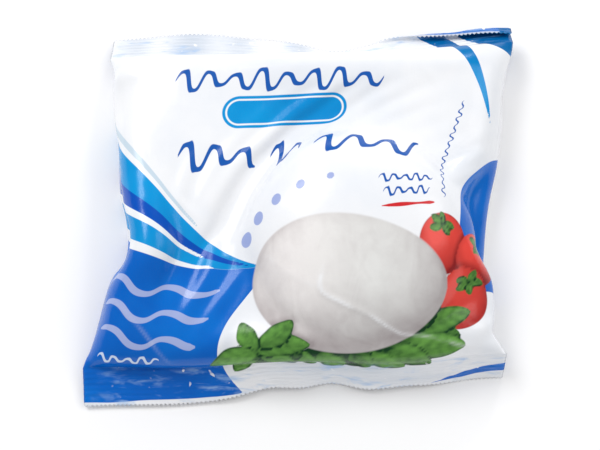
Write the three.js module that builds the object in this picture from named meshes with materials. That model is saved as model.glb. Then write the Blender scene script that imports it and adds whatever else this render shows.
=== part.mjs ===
// A sealed pillow pouch of mozzarella, lying on its back: one closed solid.
//
// The pouch is a tube of film, sealed flat at both ends, round one soft ball of cheese and its brine.
// Its shape is found the way the real one finds it. The film is a net of points that may fold but not
// stretch, held at the two seals, filled to its volume, pressed out by the weight of the brine, draped
// over the ball and laid on the table. The net is settled coarse first, then with every cell halved.
//
// Frame: millimetres, +Z up, +X to the right of the printed side, +Y towards the top seal. The origin
// is on the table, below the middle of the pouch.
import * as THREE from 'three'

// ---- Driving dimensions, mm --------------------------------------------------------------------
const FILM_WIDTH = 137 // the empty pouch, side to side
const FILM_LENGTH = 142 // the empty pouch, cut edge to cut edge
const SEAL_WIDTH = 12.2 // each end seal
const SEAL_THICKNESS = 0.9 // both films and their crimp
const FILL_VOLUME = 290e3 // cheese and brine, mm³

const BALL_SEMI_AXES = [37, 36, 17.2]
const BALL_CENTRE = [20, -5, 17.2]
const BALL_UNEVENNESS = 0.02 // share of the radius

const FIN_WIDTH = 13 // the long seam, folded flat down the middle of the back
const FIN_RELIEF = 0.5

// ---- The net and how it is settled ---------------------------------------------------------------
const COARSE_NET = { half: 24, rows: 20 } // cells across one side, cells between the seals
const COARSE_STEPS = 600
const FINE_STEPS = 500
const SEAL_ROWS = 8

const LIQUID_WEIGHT = 4e-3
const MIN_GAP = 0.5 // front film over back film
const BUCKLING_RESISTANCE = 0.03 // a film hardly resists being pushed together
const BENDING_RESISTANCE = 0.3
const FOLD_RESISTANCE = 0.3
const FOLD_SPAN = 4 // cells that a fold takes on the fine net
const FOLD_LIMIT = 0.95 // how near a fold's two ends may come, as a share of the film between them
const SHEAR_STIFFNESS = 0.6
const CREASED_SIDE = 0.25 // share of each side, next to a seal, that folds without resistance
const FILLING_RATE = 0.5

const FIRST_FILL = 0.5 // filling starts at this share, with the ball already between the films
const FILLING_TIME = 0.45 // and is full after this share of the steps
const DRIFT = 0.96 // motion kept from step to step
const DRIFT_AT_END = 0.85
const SETTLING_TIME = 0.8

// Creases in the sides draw them in or push them out: a sharp one makes the kink in the left side. side is
// a share of the way round the film, row a share of the way up, and a positive pull is to the right.
const SIDE_CREASES = [
  { side: 0, row: 0.34, reach: 0.045, pull: 0.12 },
  { side: 0, row: 0.43, reach: 0.12, pull: 0.08 },
  { side: 0, row: 0.15, reach: 0.1, pull: 0.05 },
  { side: 0, row: 0.9, reach: 0.08, pull: -0.08 },
  { side: 0.5, row: 0.45, reach: 0.2, pull: -0.1 },
  { side: 0.5, row: 0.12, reach: 0.1, pull: 0.05 },
]
const CREASE_BREADTH = 0.02

// ---- Small curves ---------------------------------------------------------------------------------
const degrees = (angle) => (angle * Math.PI) / 180
const bump = (centre, width, t) => Math.exp(-(((t - centre) / width) ** 2))
const mix = (a, b, t) => a + (b - a) * t

function ramp(from, to, t) {
  const k = Math.min(Math.max((t - from) / (to - from), 0), 1)
  return k * k * (3 - 2 * k)
}

// ---- The two end seals ------------------------------------------------------------------------------
// u runs from 0 at the left side to 1 at the right. y and z place the line where the seal begins, pitch is
// its angle to the table in degrees, and foldLine says where across its width it may turn over.
const BOTTOM_SEAL = {
  outward: -1,
  middleX: -1,
  y: (u) => -45.4 + 0.5 * bump(0.5, 0.3, u) + 0.35 * Math.sin(15 * u),
  z: (u) => 4.2 + (8.2 + 0.7 * Math.sin(19 * u)) * ramp(0.1, 0.5, u) - 1.6 * ramp(0.75, 1, u),
  pitch: (u) => -14 - 48 * ramp(0.1, 0.55, u),
  foldLine: () => SEAL_WIDTH,
}
const TOP_SEAL = {
  outward: 1,
  middleX: 5,
  y: (u) => 59.6 - 1.2 * bump(0.5, 0.2, u) + 5.5 * ramp(0.6, 1, u),
  z: (u) => 9 + 2 * ramp(0, 0.35, u) + 0.8 * Math.sin(16 * u),
  pitch: (u) => -38 + 11 * bump(0.22, 0.12, u) - 18 * bump(0.56, 0.09, u) - 3 * ramp(0.6, 0.7, u),
  foldLine: (u) => SEAL_WIDTH - 6.9 * Math.max((u - 0.7) / 0.3, 0),
}
// The top seal's right end is turned over towards the front, along a slanting fold.
const TURNED_OVER = 188 // degrees
const FOLD_LENGTH = 3.6 // of film, round the bend

// Points at even distances along the film where the chamber ends and the seal begins.
function sealLine(seal, half) {
  const step = FILM_WIDTH / half
  const line = [[0, seal.y(0), seal.z(0)]]
  for (let i = 1; i <= half; i++) {
    const [x, y, z] = line[i - 1]
    const nextY = seal.y(i / half)
    const nextZ = seal.z(i / half)
    const run = step ** 2 - (nextY - y) ** 2 - (nextZ - z) ** 2
    line.push([x + Math.sqrt(Math.max(run, 0)), nextY, nextZ])
  }
  const shift = seal.middleX - (line[0][0] + line[half][0]) / 2
  return line.map(([x, y, z]) => [x + shift, y, z])
}

// ---- The film net -------------------------------------------------------------------------------------
// Column i runs round the tube: up the front from the left side (0) to the right side (half), then back
// along the underside. Row j runs from the bottom seal (0) to the top seal (rows).
function makeNet(half, rows) {
  const columns = 2 * half
  const net = {
    half,
    rows,
    columns,
    across: FILM_WIDTH / half,
    along: (FILM_LENGTH - 2 * SEAL_WIDTH) / rows,
    now: new Float64Array(columns * (rows + 1) * 3),
    index: (i, j) => ((i + columns) % columns) * (rows + 1) + j,
    free: (j) => (j > 0 && j < rows ? 1 : 0),
  }
  const bottom = sealLine(BOTTOM_SEAL, half)
  const top = sealLine(TOP_SEAL, half)
  for (let i = 0; i < columns; i++) {
    const k = i <= half ? i : columns - i
    const side = i <= half ? 1 : -1
    for (let j = 0; j <= rows; j++) {
      const v = j / rows
      const at = 3 * net.index(i, j)
      for (let c = 0; c < 3; c++) net.now[at + c] = mix(bottom[k][c], top[k][c], v)
      const lift = 8 * Math.pow(Math.sin((Math.PI * k) / half), 0.7) * Math.pow(Math.sin(Math.PI * v), 0.7)
      net.now[at + 2] += side * (lift || 0) + unevenness(i / columns, v)
    }
  }
  net.before = net.now.slice()
  net.links = makeLinks(net)
  return net
}

// The slight waviness that every film has, which decides where its wrinkles start.
function unevenness(around, v) {
  const waves = [
    [3, 2, 0.3],
    [5, 3, 1.7],
    [8, 5, 4.1],
    [13, 7, 2.2],
    [17, 11, 5.3],
    [23, 13, 0.9],
  ]
  let sum = 0
  for (const [a, b, phase] of waves) {
    const forward = 2 * Math.PI * (a * around + b * v)
    const backward = 2 * Math.PI * (a * around - b * v)
    sum += Math.sin(forward + phase) * Math.sin(backward + 2 * phase)
  }
  return 0.12 * sum * Math.sin(Math.PI * v)
}

// Links between points. pull is how strongly a link that is too long closes, push how strongly one that
// is too short opens.
function makeLinks(net) {
  const { half, rows, columns, across, along } = net
  const diagonal = Math.hypot(across, along)
  const thread = { pull: 1, push: BUCKLING_RESISTANCE }
  const shear = { pull: SHEAR_STIFFNESS, push: SHEAR_STIFFNESS * BUCKLING_RESISTANCE }
  const bend = { pull: 0, push: BENDING_RESISTANCE, creased: true }
  const fold = { pull: 0, push: FOLD_RESISTANCE, creased: true }
  const groups = []
  const crossesSide = (i, k) => (i < half && k > half) || (i < columns && k > columns)

  // A group links points di columns and dj rows apart. Two groups, of alternate blocks of columns or, for
  // links straight up the film, of rows, cover them all.
  function link(di, dj, rest, kind) {
    for (const turn of [0, 1]) groups.push(gather(di, dj, rest, kind, turn))
  }
  function gather(di, dj, rest, { pull, push, creased }, turn) {
    const first = []
    const second = []
    for (let i = 0; i < columns; i++) {
      for (let j = 0; j <= rows; j++) {
        const block = di > 0 ? Math.floor(i / di) : Math.floor(j / dj)
        if (j + dj < 0 || j + dj > rows || block % 2 !== turn) continue
        if (net.free(j) + net.free(j + dj) === 0) continue
        if (creased && crossesSide(i, i + di) && Math.min(j, rows - j) < CREASED_SIDE * rows) continue
        first.push(net.index(i, j))
        second.push(net.index(i + di, j + dj))
      }
    }
    return { first, second, rest, pull, push }
  }
  link(1, 0, across, thread)
  link(0, 1, along, thread)
  link(1, 1, diagonal, shear)
  link(1, -1, diagonal, shear)
  link(2, 0, 2 * across, bend)
  link(0, 2, 2 * along, bend)
  if (half > COARSE_NET.half) {
    link(FOLD_SPAN, 0, FOLD_LIMIT * FOLD_SPAN * across, fold)
    link(0, FOLD_SPAN, FOLD_LIMIT * FOLD_SPAN * along, fold)
  }
  return groups
}

function settleLinks(net) {
  const point = net.now
  const rowsPlus = net.rows + 1
  for (const { first, second, rest, pull, push } of net.links) {
    for (let k = 0; k < first.length; k++) {
      const a = 3 * first[k]
      const b = 3 * second[k]
      const dx = point[b] - point[a]
      const dy = point[b + 1] - point[a + 1]
      const dz = point[b + 2] - point[a + 2]
      const length = Math.sqrt(dx * dx + dy * dy + dz * dz)
      const excess = (length - rest) / Math.max(length, 1e-9)
      const strength = excess > 0 ? pull : push
      if (strength === 0) continue
      const freeA = net.free(first[k] % rowsPlus)
      const freeB = net.free(second[k] % rowsPlus)
      const shareA = (freeA / (freeA + freeB)) * excess * strength
      const shareB = (freeB / (freeA + freeB)) * excess * strength
      point[a] += shareA * dx
      point[a + 1] += shareA * dy
      point[a + 2] += shareA * dz
      point[b] -= shareB * dx
      point[b + 1] -= shareB * dy
      point[b + 2] -= shareB * dz
    }
  }
}

// The outward area of each cell and the middle of each cell.
function cells(net) {
  const { columns, rows, now } = net
  const area = new Float64Array(columns * rows * 3)
  const middle = new Float64Array(columns * rows * 3)
  for (let i = 0; i < columns; i++) {
    for (let j = 0; j < rows; j++) {
      const a = 3 * net.index(i, j)
      const b = 3 * net.index(i + 1, j)
      const c = 3 * net.index(i + 1, j + 1)
      const d = 3 * net.index(i, j + 1)
      const at = 3 * (i * rows + j)
      const p = [now[c] - now[a], now[c + 1] - now[a + 1], now[c + 2] - now[a + 2]]
      const q = [now[d] - now[b], now[d + 1] - now[b + 1], now[d + 2] - now[b + 2]]
      area[at] = 0.5 * (p[1] * q[2] - p[2] * q[1])
      area[at + 1] = 0.5 * (p[2] * q[0] - p[0] * q[2])
      area[at + 2] = 0.5 * (p[0] * q[1] - p[1] * q[0])
      for (let k = 0; k < 3; k++) middle[at + k] = (now[a + k] + now[b + k] + now[c + k] + now[d + k]) / 4
    }
  }
  return { area, middle }
}

// The share of the cells' areas that each point carries, weighted by weigh(cell).
function areaAtPoints(net, area, weigh) {
  const { columns, rows } = net
  const out = new Float64Array(net.now.length)
  const part = (i, j, k) => {
    const cell = ((i + columns) % columns) * rows + j
    return area[3 * cell + k] * weigh(cell)
  }
  for (let i = 0; i < columns; i++) {
    for (let j = 0; j <= rows; j++) {
      for (let k = 0; k < 3; k++) {
        let sum = 0
        for (const column of [i, i - 1]) {
          if (j < rows) sum += part(column, j, k)
          if (j > 0) sum += part(column, j - 1, k)
        }
        out[3 * net.index(i, j) + k] = sum / 4
      }
    }
  }
  return out
}

function moveOn(net, keep) {
  const { now, before, rows } = net
  const { area, middle } = cells(net)
  const weight = areaAtPoints(net, area, (cell) => middle[3 * cell + 2])
  const perCell = net.across * net.along
  for (let at = 0; at < now.length; at++) {
    const old = now[at]
    if (net.free(Math.floor(at / 3) % (rows + 1))) {
      now[at] += (old - before[at]) * keep - (LIQUID_WEIGHT * weight[at]) / perCell
    }
    before[at] = old
  }
}

function pullSides(net) {
  for (const { side, row, reach, pull } of SIDE_CREASES) {
    for (let i = 0; i < net.columns; i++) {
      const apart = Math.abs(i / net.columns - side)
      const nearSide = bump(0, CREASE_BREADTH, Math.min(apart, 1 - apart))
      if (nearSide < 1e-3) continue
      for (let j = 1; j < net.rows; j++) {
        net.now[3 * net.index(i, j)] += pull * nearSide * bump(row, reach, j / net.rows)
      }
    }
  }
}

function holdVolume(net, fill) {
  const { area, middle } = cells(net)
  let volume = 0
  for (let at = 0; at < area.length; at++) volume += area[at] * middle[at]
  volume /= 3
  const slope = areaAtPoints(net, area, () => 1)
  let size = 0
  for (let at = 0; at < slope.length; at++) {
    if (!net.free(Math.floor(at / 3) % (net.rows + 1))) slope[at] = 0
    size += slope[at] ** 2
  }
  const push = (FILLING_RATE * (FILL_VOLUME * fill - volume)) / Math.max(size, 1e-9)
  for (let at = 0; at < slope.length; at++) net.now[at] += push * slope[at]
}

// How far the ball's skin lies from its middle in direction n, as a share of its semi-axes.
function ballSkin([x, y, z]) {
  const broad = Math.sin(3.1 * x + 2.3 * y + 0.5) + Math.sin(4.7 * y - 2.9 * z + 1.9)
  return 1 + BALL_UNEVENNESS * (broad + 0.6 * Math.sin(6.3 * x - 3.7 * z))
}

function keepContents(net, fill) {
  const growth = Math.cbrt(fill)
  const centre = [BALL_CENTRE[0], BALL_CENTRE[1], BALL_CENTRE[2] * growth]
  const radius = BALL_SEMI_AXES.map((r) => r * growth)
  for (let i = 0; i < net.columns; i++) {
    for (let j = 1; j < net.rows; j++) {
      const at = 3 * net.index(i, j)
      const d = radius.map((r, c) => (net.now[at + c] - centre[c]) / r)
      const reach = Math.hypot(...d)
      const n = d.map((value) => value / Math.max(reach, 1e-9))
      const skin = ballSkin(n)
      if (reach >= skin) continue
      for (let c = 0; c < 3; c++) net.now[at + c] = centre[c] + n[c] * skin * radius[c]
    }
  }
  for (let i = 1; i < net.half; i++) {
    for (let j = 1; j < net.rows; j++) {
      const front = 3 * net.index(i, j) + 2
      const back = 3 * net.index(net.columns - i, j) + 2
      const lack = MIN_GAP - (net.now[front] - net.now[back])
      if (lack <= 0) continue
      net.now[front] += lack / 2
      net.now[back] -= lack / 2
    }
  }
}

// What touches the table stays on it and doesn't slide.
function layOnTable(net) {
  for (let i = 0; i < net.columns; i++) {
    for (let j = 1; j < net.rows; j++) {
      const at = 3 * net.index(i, j)
      if (net.now[at + 2] >= 0) continue
      net.now[at + 2] = 0
      net.before[at] = net.now[at]
      net.before[at + 1] = net.now[at + 1]
    }
  }
}

function settle(net, steps, firstFill) {
  for (let step = 0; step < steps; step++) {
    const fill = Math.min(1, firstFill + ((1 - firstFill) * step) / (FILLING_TIME * steps))
    pullSides(net)
    moveOn(net, step < SETTLING_TIME * steps ? DRIFT : DRIFT_AT_END)
    settleLinks(net)
    holdVolume(net, fill)
    keepContents(net, fill)
    layOnTable(net)
  }
}

// The value at half steps along a row of values: value(n / 2), on a smooth curve through its neighbours.
function atHalfSteps(value, n) {
  const low = Math.floor(n / 2)
  if (n % 2 === 0) return value(low)
  return (9 * (value(low) + value(low + 1)) - value(low - 1) - value(low + 2)) / 16
}

// The same film as a net of half the cell size. Its seal rows stay where makeNet puts them.
function refine(net) {
  const fine = makeNet(2 * net.half, 2 * net.rows)
  const { rows } = net
  for (let i = 0; i < fine.columns; i++) {
    for (let j = 1; j < fine.rows; j++) {
      for (let c = 0; c < 3; c++) {
        // A row past a seal carries on the slope of the last one.
        const inside = (row) => atHalfSteps((column) => net.now[3 * net.index(column, row) + c], i)
        const value = (row) => {
          if (row < 0) return 2 * inside(0) - inside(1)
          if (row > rows) return 2 * inside(rows) - inside(rows - 1)
          return inside(row)
        }
        fine.now[3 * fine.index(i, j) + c] = atHalfSteps(value, j)
      }
    }
  }
  fine.before = fine.now.slice()
  return fine
}

// ---- From the net to the pouch's skin ------------------------------------------------------------------

// The middle line of a seal across its width at each column, and the direction its printed side faces.
function sealStrip(seal, half) {
  const line = sealLine(seal, half)
  const step = SEAL_WIDTH / SEAL_ROWS
  return line.map((start, k) => {
    const ahead = line[Math.min(k + 1, half)]
    const behind = line[Math.max(k - 1, 0)]
    const along = new THREE.Vector3(ahead[0] - behind[0], ahead[1] - behind[1], 0).normalize()
    const out = new THREE.Vector3(-along.y, along.x, 0).multiplyScalar(seal.outward)
    const up = new THREE.Vector3(0, 0, 1)
    const u = k / half
    const turned = (share) => (share * SEAL_WIDTH - seal.foldLine(u)) / FOLD_LENGTH
    const angleAt = (share) => degrees(seal.pitch(u) + TURNED_OVER * Math.min(Math.max(turned(share), 0), 1))
    const place = new THREE.Vector3(...start)
    const strip = [{ place: place.clone(), facing: facingAt(out, up, angleAt(0)) }]
    for (let row = 1; row <= SEAL_ROWS; row++) {
      const angle = angleAt((row - 0.5) / SEAL_ROWS)
      place.addScaledVector(out, Math.cos(angle) * step).addScaledVector(up, Math.sin(angle) * step)
      strip.push({ place: place.clone(), facing: facingAt(out, up, angleAt(row / SEAL_ROWS)) })
    }
    return strip
  })
}

function facingAt(out, up, angle) {
  return new THREE.Vector3().addScaledVector(out, -Math.sin(angle)).addScaledVector(up, Math.cos(angle))
}

// The film parts over the last cells before a seal, from the thickness of the seal to its own shape.
const PARTING_ROWS = 4

function skinRows(net) {
  const { half, columns, rows } = net
  const bottom = sealStrip(BOTTOM_SEAL, half)
  const top = sealStrip(TOP_SEAL, half)
  const sideOf = (i) => (i === 0 || i === half ? 0 : i < half ? 1 : -1)
  const columnOf = (i) => (i <= half ? i : columns - i)
  const sealRow = (strips, row) =>
    Array.from({ length: columns }, (_, i) => {
      const { place, facing } = strips[columnOf(i)][row]
      return place.clone().addScaledVector(facing, (sideOf(i) * SEAL_THICKNESS) / 2)
    })
  const chamberRow = (j) =>
    Array.from({ length: columns }, (_, i) => {
      const at = 3 * net.index(i, j)
      const point = new THREE.Vector3(net.now[at], net.now[at + 1], net.now[at + 2])
      const nearBottom = Math.max(1 - j / PARTING_ROWS, 0)
      const nearTop = Math.max(1 - (rows - j) / PARTING_ROWS, 0)
      const strips = nearBottom > 0 ? bottom : top
      const parting = (sideOf(i) * SEAL_THICKNESS * Math.max(nearBottom, nearTop)) / 2
      point.addScaledVector(strips[columnOf(i)][0].facing, parting)
      if (i > half) point.z -= FIN_RELIEF * finProfile(i / columns)
      return point
    })
  const all = []
  for (let row = SEAL_ROWS; row > 0; row--) all.push(sealRow(bottom, row))
  for (let j = 0; j <= rows; j++) all.push(chamberRow(j))
  for (let row = 1; row <= SEAL_ROWS; row++) all.push(sealRow(top, row))
  for (const point of all.flat()) point.z = Math.max(point.z, 0)
  return all
}

// 1 on the long seam down the middle of the back, 0 away from it.
function finProfile(around) {
  const offMiddle = Math.abs(around - 0.75) * 2 * FILM_WIDTH
  return 1 - ramp(FIN_WIDTH / 2 - 1, FIN_WIDTH / 2 + 1, offMiddle)
}

function closedSkin(net) {
  const rows = skinRows(net)
  const { half, columns } = net
  const box = new THREE.Box3().setFromPoints(rows.flat())
  const middle = box.getCenter(new THREE.Vector3())
  const positions = rows.flat().flatMap((p) => [p.x - middle.x, p.y - middle.y, p.z])
  const at = (row, i) => row * columns + (i % columns)
  const points = rows.flat()
  const distance = (a, b) => points[a].distanceTo(points[b])
  const triangles = []
  for (let row = 0; row < rows.length - 1; row++) {
    for (let i = 0; i < columns; i++) {
      const corners = [at(row, i), at(row, i + 1), at(row + 1, i + 1), at(row + 1, i)]
      const [a, b, c, d] = corners
      if (distance(a, c) <= distance(b, d)) triangles.push(a, b, c, a, c, d)
      else triangles.push(b, c, d, b, d, a)
    }
  }
  // The cut edges close the two ends, between the front film and the back film.
  const edge = (row, k) => [at(row, k), at(row, columns - k), at(row, columns - k - 1), at(row, k + 1)]
  for (const [row, turned] of [[0, false], [rows.length - 1, true]]) {
    for (let k = 0; k < half; k++) {
      const [front, back, nextBack, nextFront] = edge(row, k)
      const faces = []
      if (front !== back) faces.push([front, back, nextBack])
      if (nextFront !== nextBack) faces.push([front, nextBack, nextFront])
      for (const face of faces) triangles.push(...(turned ? face.reverse() : face))
    }
  }
  const geometry = new THREE.BufferGeometry()
  geometry.setAttribute('position', new THREE.Float32BufferAttribute(positions, 3))
  geometry.setIndex(triangles)
  geometry.computeVertexNormals()
  return geometry
}

// ---- The part ---------------------------------------------------------------------------------------------
const coarse = makeNet(COARSE_NET.half, COARSE_NET.rows)
settle(coarse, COARSE_STEPS, FIRST_FILL)
const film = refine(coarse)
settle(film, FINE_STEPS, 1)

const printedFilm = new THREE.MeshStandardMaterial({ color: 0xf2f5f8, roughness: 0.28, metalness: 0 })
const pouch = new THREE.Mesh(closedSkin(film), printedFilm)
pouch.name = 'pouch'

const group = new THREE.Group()
group.add(pouch)

export default group
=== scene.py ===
"""A sealed pillow pouch of mozzarella: its film, its seals, its print and a studio round it.

The film is settled as in the part's own source, as a net of points that may fold but not stretch, on a
finer net that also takes small wrinkles. Lengths in the settling and in the print, down to its strokes in
the material, are in millimetres; the meshes, the properties and the crimp's node tree are in metres.
"""

import functools
import math
from types import SimpleNamespace

import bpy
import numpy as np
from bpy.props import FloatProperty, FloatVectorProperty, PointerProperty
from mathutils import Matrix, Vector


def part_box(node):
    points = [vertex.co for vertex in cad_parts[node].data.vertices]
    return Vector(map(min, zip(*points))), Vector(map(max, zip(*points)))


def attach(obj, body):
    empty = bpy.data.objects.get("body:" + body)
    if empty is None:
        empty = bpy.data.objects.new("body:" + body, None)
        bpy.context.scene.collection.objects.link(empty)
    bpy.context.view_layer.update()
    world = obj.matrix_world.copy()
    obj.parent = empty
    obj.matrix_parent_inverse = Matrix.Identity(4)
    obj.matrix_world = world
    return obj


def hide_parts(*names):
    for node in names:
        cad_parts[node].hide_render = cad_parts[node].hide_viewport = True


bl_info = {
    "name": "Mozzarella Pouch",
    "version": (1, 0, 0),
    "blender": (4, 5, 0),
    "location": "3D View > Sidebar > Pouch",
    "description": "Makes a sealed, printed pillow pouch that lies on its back",
    "category": "Object",
}

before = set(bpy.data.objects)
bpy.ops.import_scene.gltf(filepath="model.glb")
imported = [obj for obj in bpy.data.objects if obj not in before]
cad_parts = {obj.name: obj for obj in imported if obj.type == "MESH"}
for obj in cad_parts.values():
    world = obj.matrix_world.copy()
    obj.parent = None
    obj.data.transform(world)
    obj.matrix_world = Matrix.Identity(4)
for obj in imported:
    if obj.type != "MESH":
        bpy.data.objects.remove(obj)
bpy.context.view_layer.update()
BODY = "root"
NODE = "pouch"


# ---- How the film is settled -------------------------------------------------------------------------

COARSE_HALF = 24        # cells across one side of the first net
COARSE_ROWS = 20        # cells between its seals
STEPS = (600, 500, 260)  # of settling, on the first net and on each finer one
START_LIFT = 8          # of the front film before it is settled, and as far down for the back film
WAVINESS = 0.12         # of the film before it is settled
LIQUID_WEIGHT = 4e-3
MIN_GAP = 0.5           # front film over back film
BUCKLING_RESISTANCE = (0.03, 0.03, 0.25)
BENDING_RESISTANCE = (0.3, 0.3, 0.2)
FOLD_RESISTANCE = 0.3
FOLD_SPANS = ((), (4,), (4, 8))  # cells that a fold takes, on each net
FOLD_LIMIT = 0.95
SHEAR_STIFFNESS = 0.6
CREASED_SIDE = 0.25     # share of each side, next to a seal, that folds without resistance
FILLING_RATE = 0.5
FIRST_FILL = 0.5        # with the ball already between the films
FILLING_TIME = 0.45
DRIFT = 0.96
DRIFT_AT_END = 0.85
SETTLING_TIME = 0.8
CREASE_BREADTH = 0.02
SIDE_CREASES = (        # side, row, reach, pull
    (0.0, 0.34, 0.045, 0.12),
    (0.0, 0.43, 0.12, 0.08),
    (0.0, 0.64, 0.14, 0.045),
    (0.0, 0.15, 0.10, 0.05),
    (0.0, 0.90, 0.08, -0.08),
    (0.5, 0.45, 0.20, -0.10),
    (0.5, 0.12, 0.10, 0.05),
)


def bump(centre, width, t):
    return np.exp(-((t - centre) / width) ** 2)


def ramp(start, end, t):
    k = np.clip((t - start) / (end - start), 0, 1)
    return k * k * (3 - 2 * k)


class BottomSeal:
    """Where the bottom seal starts, its angle to the table, and where it may turn over."""

    outward, middle_x = -1, -1

    @staticmethod
    def y(u):
        return -45.4 + 0.5 * bump(0.5, 0.3, u) + 0.35 * np.sin(15 * u) + 3.2 * ramp(0.72, 1, u)

    @staticmethod
    def z(u):
        return 4.2 + (8.2 + 0.7 * np.sin(19 * u)) * ramp(0.1, 0.5, u) - 1.6 * ramp(0.75, 1, u)

    @staticmethod
    def pitch(u):
        return -14 - 48 * ramp(0.1, 0.55, u) + 5 * np.sin(36 * u + 2) * bump(0.58, 0.2, u)

    @staticmethod
    def fold_line(u, seal_width):
        return seal_width + 0 * u


class TopSeal:
    """The top seal, whose right end is turned over towards the front along a slanting fold."""

    outward, middle_x = 1, 5

    @staticmethod
    def y(u):
        return 59.6 - 1.2 * bump(0.5, 0.2, u) + 5.5 * ramp(0.6, 1, u) - 1.1 * bump(0.85, 0.09, u)

    @staticmethod
    def z(u):
        return 9 + 2 * ramp(0, 0.35, u) + 0.8 * np.sin(16 * u)

    @staticmethod
    def pitch(u):
        return -38 + 11 * bump(0.22, 0.12, u) - 18 * bump(0.56, 0.09, u) - 3 * ramp(0.6, 0.7, u)

    @staticmethod
    def fold_line(u, seal_width):
        return seal_width - 6.4 * np.maximum((u - 0.66) / 0.34, 0) ** 0.5


def seal_line(seal, half, film_width):
    """Points at even distances along the film where the chamber ends and the seal begins."""
    u = np.linspace(0, 1, half + 1)
    y, z = seal.y(u), seal.z(u)
    step = film_width / half
    run = np.sqrt(np.maximum(step ** 2 - np.diff(y) ** 2 - np.diff(z) ** 2, 0))
    x = np.concatenate([[0], np.cumsum(run)])
    return np.stack([x + seal.middle_x - x[-1] / 2, y, z], axis=1)


class FilmNet:
    """The film between the seals: column i runs round the tube, row j from the bottom seal to the top one."""

    def __init__(self, size, level):
        self.size, self.level = size, level
        self.half, self.rows = COARSE_HALF << level, COARSE_ROWS << level
        self.columns = 2 * self.half
        self.across = size.film_width / self.half
        self.along = (size.film_length - 2 * size.seal_width) / self.rows
        bottom = seal_line(BottomSeal, self.half, size.film_width)
        top = seal_line(TopSeal, self.half, size.film_width)
        i = np.arange(self.columns)
        k = np.where(i <= self.half, i, self.columns - i)
        v = np.arange(self.rows + 1) / self.rows
        self.now = bottom[k][:, None] * (1 - v)[:, None] + top[k][:, None] * v[:, None]
        side = np.where(i <= self.half, 1, -1)
        arch = np.sin(np.pi * k / self.half).clip(0) ** 0.7
        lift = START_LIFT * np.outer(arch, np.sin(np.pi * v).clip(0) ** 0.7)
        self.now[..., 2] += side[:, None] * lift + unevenness(i[:, None] / self.columns, v)
        self.before = self.now.copy()
        self.free = np.ones((self.columns, self.rows + 1))
        self.free[:, [0, -1]] = 0
        if level == len(STEPS) - 1:
            self.free[[0, self.half]] = 0
        self.links = self.make_links()

    def make_links(self):
        """Links between points: how strongly one that is too long closes, and one that is too short opens."""
        level, across, along = self.level, self.across, self.along
        buckling, bending = BUCKLING_RESISTANCE[level], BENDING_RESISTANCE[level]
        diagonal = np.hypot(across, along)
        shear = (SHEAR_STIFFNESS, SHEAR_STIFFNESS * buckling, False)
        links = self.link(1, 0, across, 1, buckling, False)
        links += self.link(0, 1, along, 1, buckling, False)
        links += self.link(1, 1, diagonal, *shear)
        links += self.link(1, -1, diagonal, *shear)
        links += self.link(2, 0, 2 * across, 0, bending, True)
        links += self.link(0, 2, 2 * along, 0, bending, True)
        for span in FOLD_SPANS[level]:
            links += self.link(span, 0, FOLD_LIMIT * span * across, 0, FOLD_RESISTANCE, True)
            links += self.link(0, span, FOLD_LIMIT * span * along, 0, FOLD_RESISTANCE, True)
        return links

    def link(self, di, dj, rest, pull, push, creased):
        """Two groups of alternate blocks, so that no point is in one group twice."""
        i, j = np.meshgrid(np.arange(self.columns), np.arange(self.rows + 1), indexing="ij")
        block = i // di if di > 0 else j // dj
        inside = (j + dj >= 0) & (j + dj <= self.rows)
        free_a = self.free[i, j]
        free_b = self.free[(i + di) % self.columns, np.clip(j + dj, 0, self.rows)]
        inside &= free_a + free_b > 0
        if creased:
            crosses = ((i < self.half) & (i + di > self.half)) | (i + di > self.columns)
            inside &= ~(crosses & (np.minimum(j, self.rows - j) < CREASED_SIDE * self.rows))
        groups = []
        for turn in (0, 1):
            keep = inside & (block % 2 == turn)
            first = (i * (self.rows + 1) + j)[keep]
            second = (((i + di) % self.columns) * (self.rows + 1) + j + dj)[keep]
            share = free_a[keep] / (free_a[keep] + free_b[keep])
            groups.append((first, second, rest, pull, push, share[:, None]))
        return groups

    def settle_links(self):
        point = self.now.reshape(-1, 3)
        for first, second, rest, pull, push, share in self.links:
            span = point[second] - point[first]
            length = np.sqrt(np.einsum("ij,ij->i", span, span))
            excess = (length - rest) / np.maximum(length, 1e-9)
            move = (excess * np.where(excess > 0, pull, push))[:, None] * span
            point[first] += share * move
            point[second] -= (1 - share) * move

    def cells(self):
        """The outward area and the middle of each cell."""
        a = self.now
        b = np.roll(a, -1, axis=0)
        area = 0.5 * np.cross(b[:, 1:] - a[:, :-1], a[:, 1:] - b[:, :-1])
        return area, 0.25 * (a[:, :-1] + a[:, 1:] + b[:, :-1] + b[:, 1:])

    def at_points(self, area):
        """The share of the cells' areas that each point carries."""
        total = np.zeros_like(self.now)
        total[:, :-1] += area
        total[:, 1:] += area
        return (total + np.roll(total, 1, axis=0)) / 4

    def move_on(self, keep):
        area, middle = self.cells()
        weight = self.at_points(area * middle[..., 2:])
        drift = (self.now - self.before) * keep
        self.before = self.now.copy()
        self.now += self.free[..., None] * (drift - LIQUID_WEIGHT * weight / (self.across * self.along))

    def pull_sides(self):
        i = np.arange(self.columns) / self.columns
        v = np.arange(self.rows + 1) / self.rows
        for side, row, reach, pull in SIDE_CREASES:
            apart = np.abs(i - side)
            near = bump(0, CREASE_BREADTH, np.minimum(apart, 1 - apart))
            near[near < 1e-3] = 0
            self.now[..., 0] += pull * np.outer(near, bump(row, reach, v)) * self.free

    def hold_volume(self, fill):
        area, middle = self.cells()
        volume = (area * middle).sum() / 3
        slope = self.at_points(area) * self.free[..., None]
        push = FILLING_RATE * (self.size.fill_volume * fill - volume) / max((slope * slope).sum(), 1e-9)
        self.now += push * slope

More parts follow.
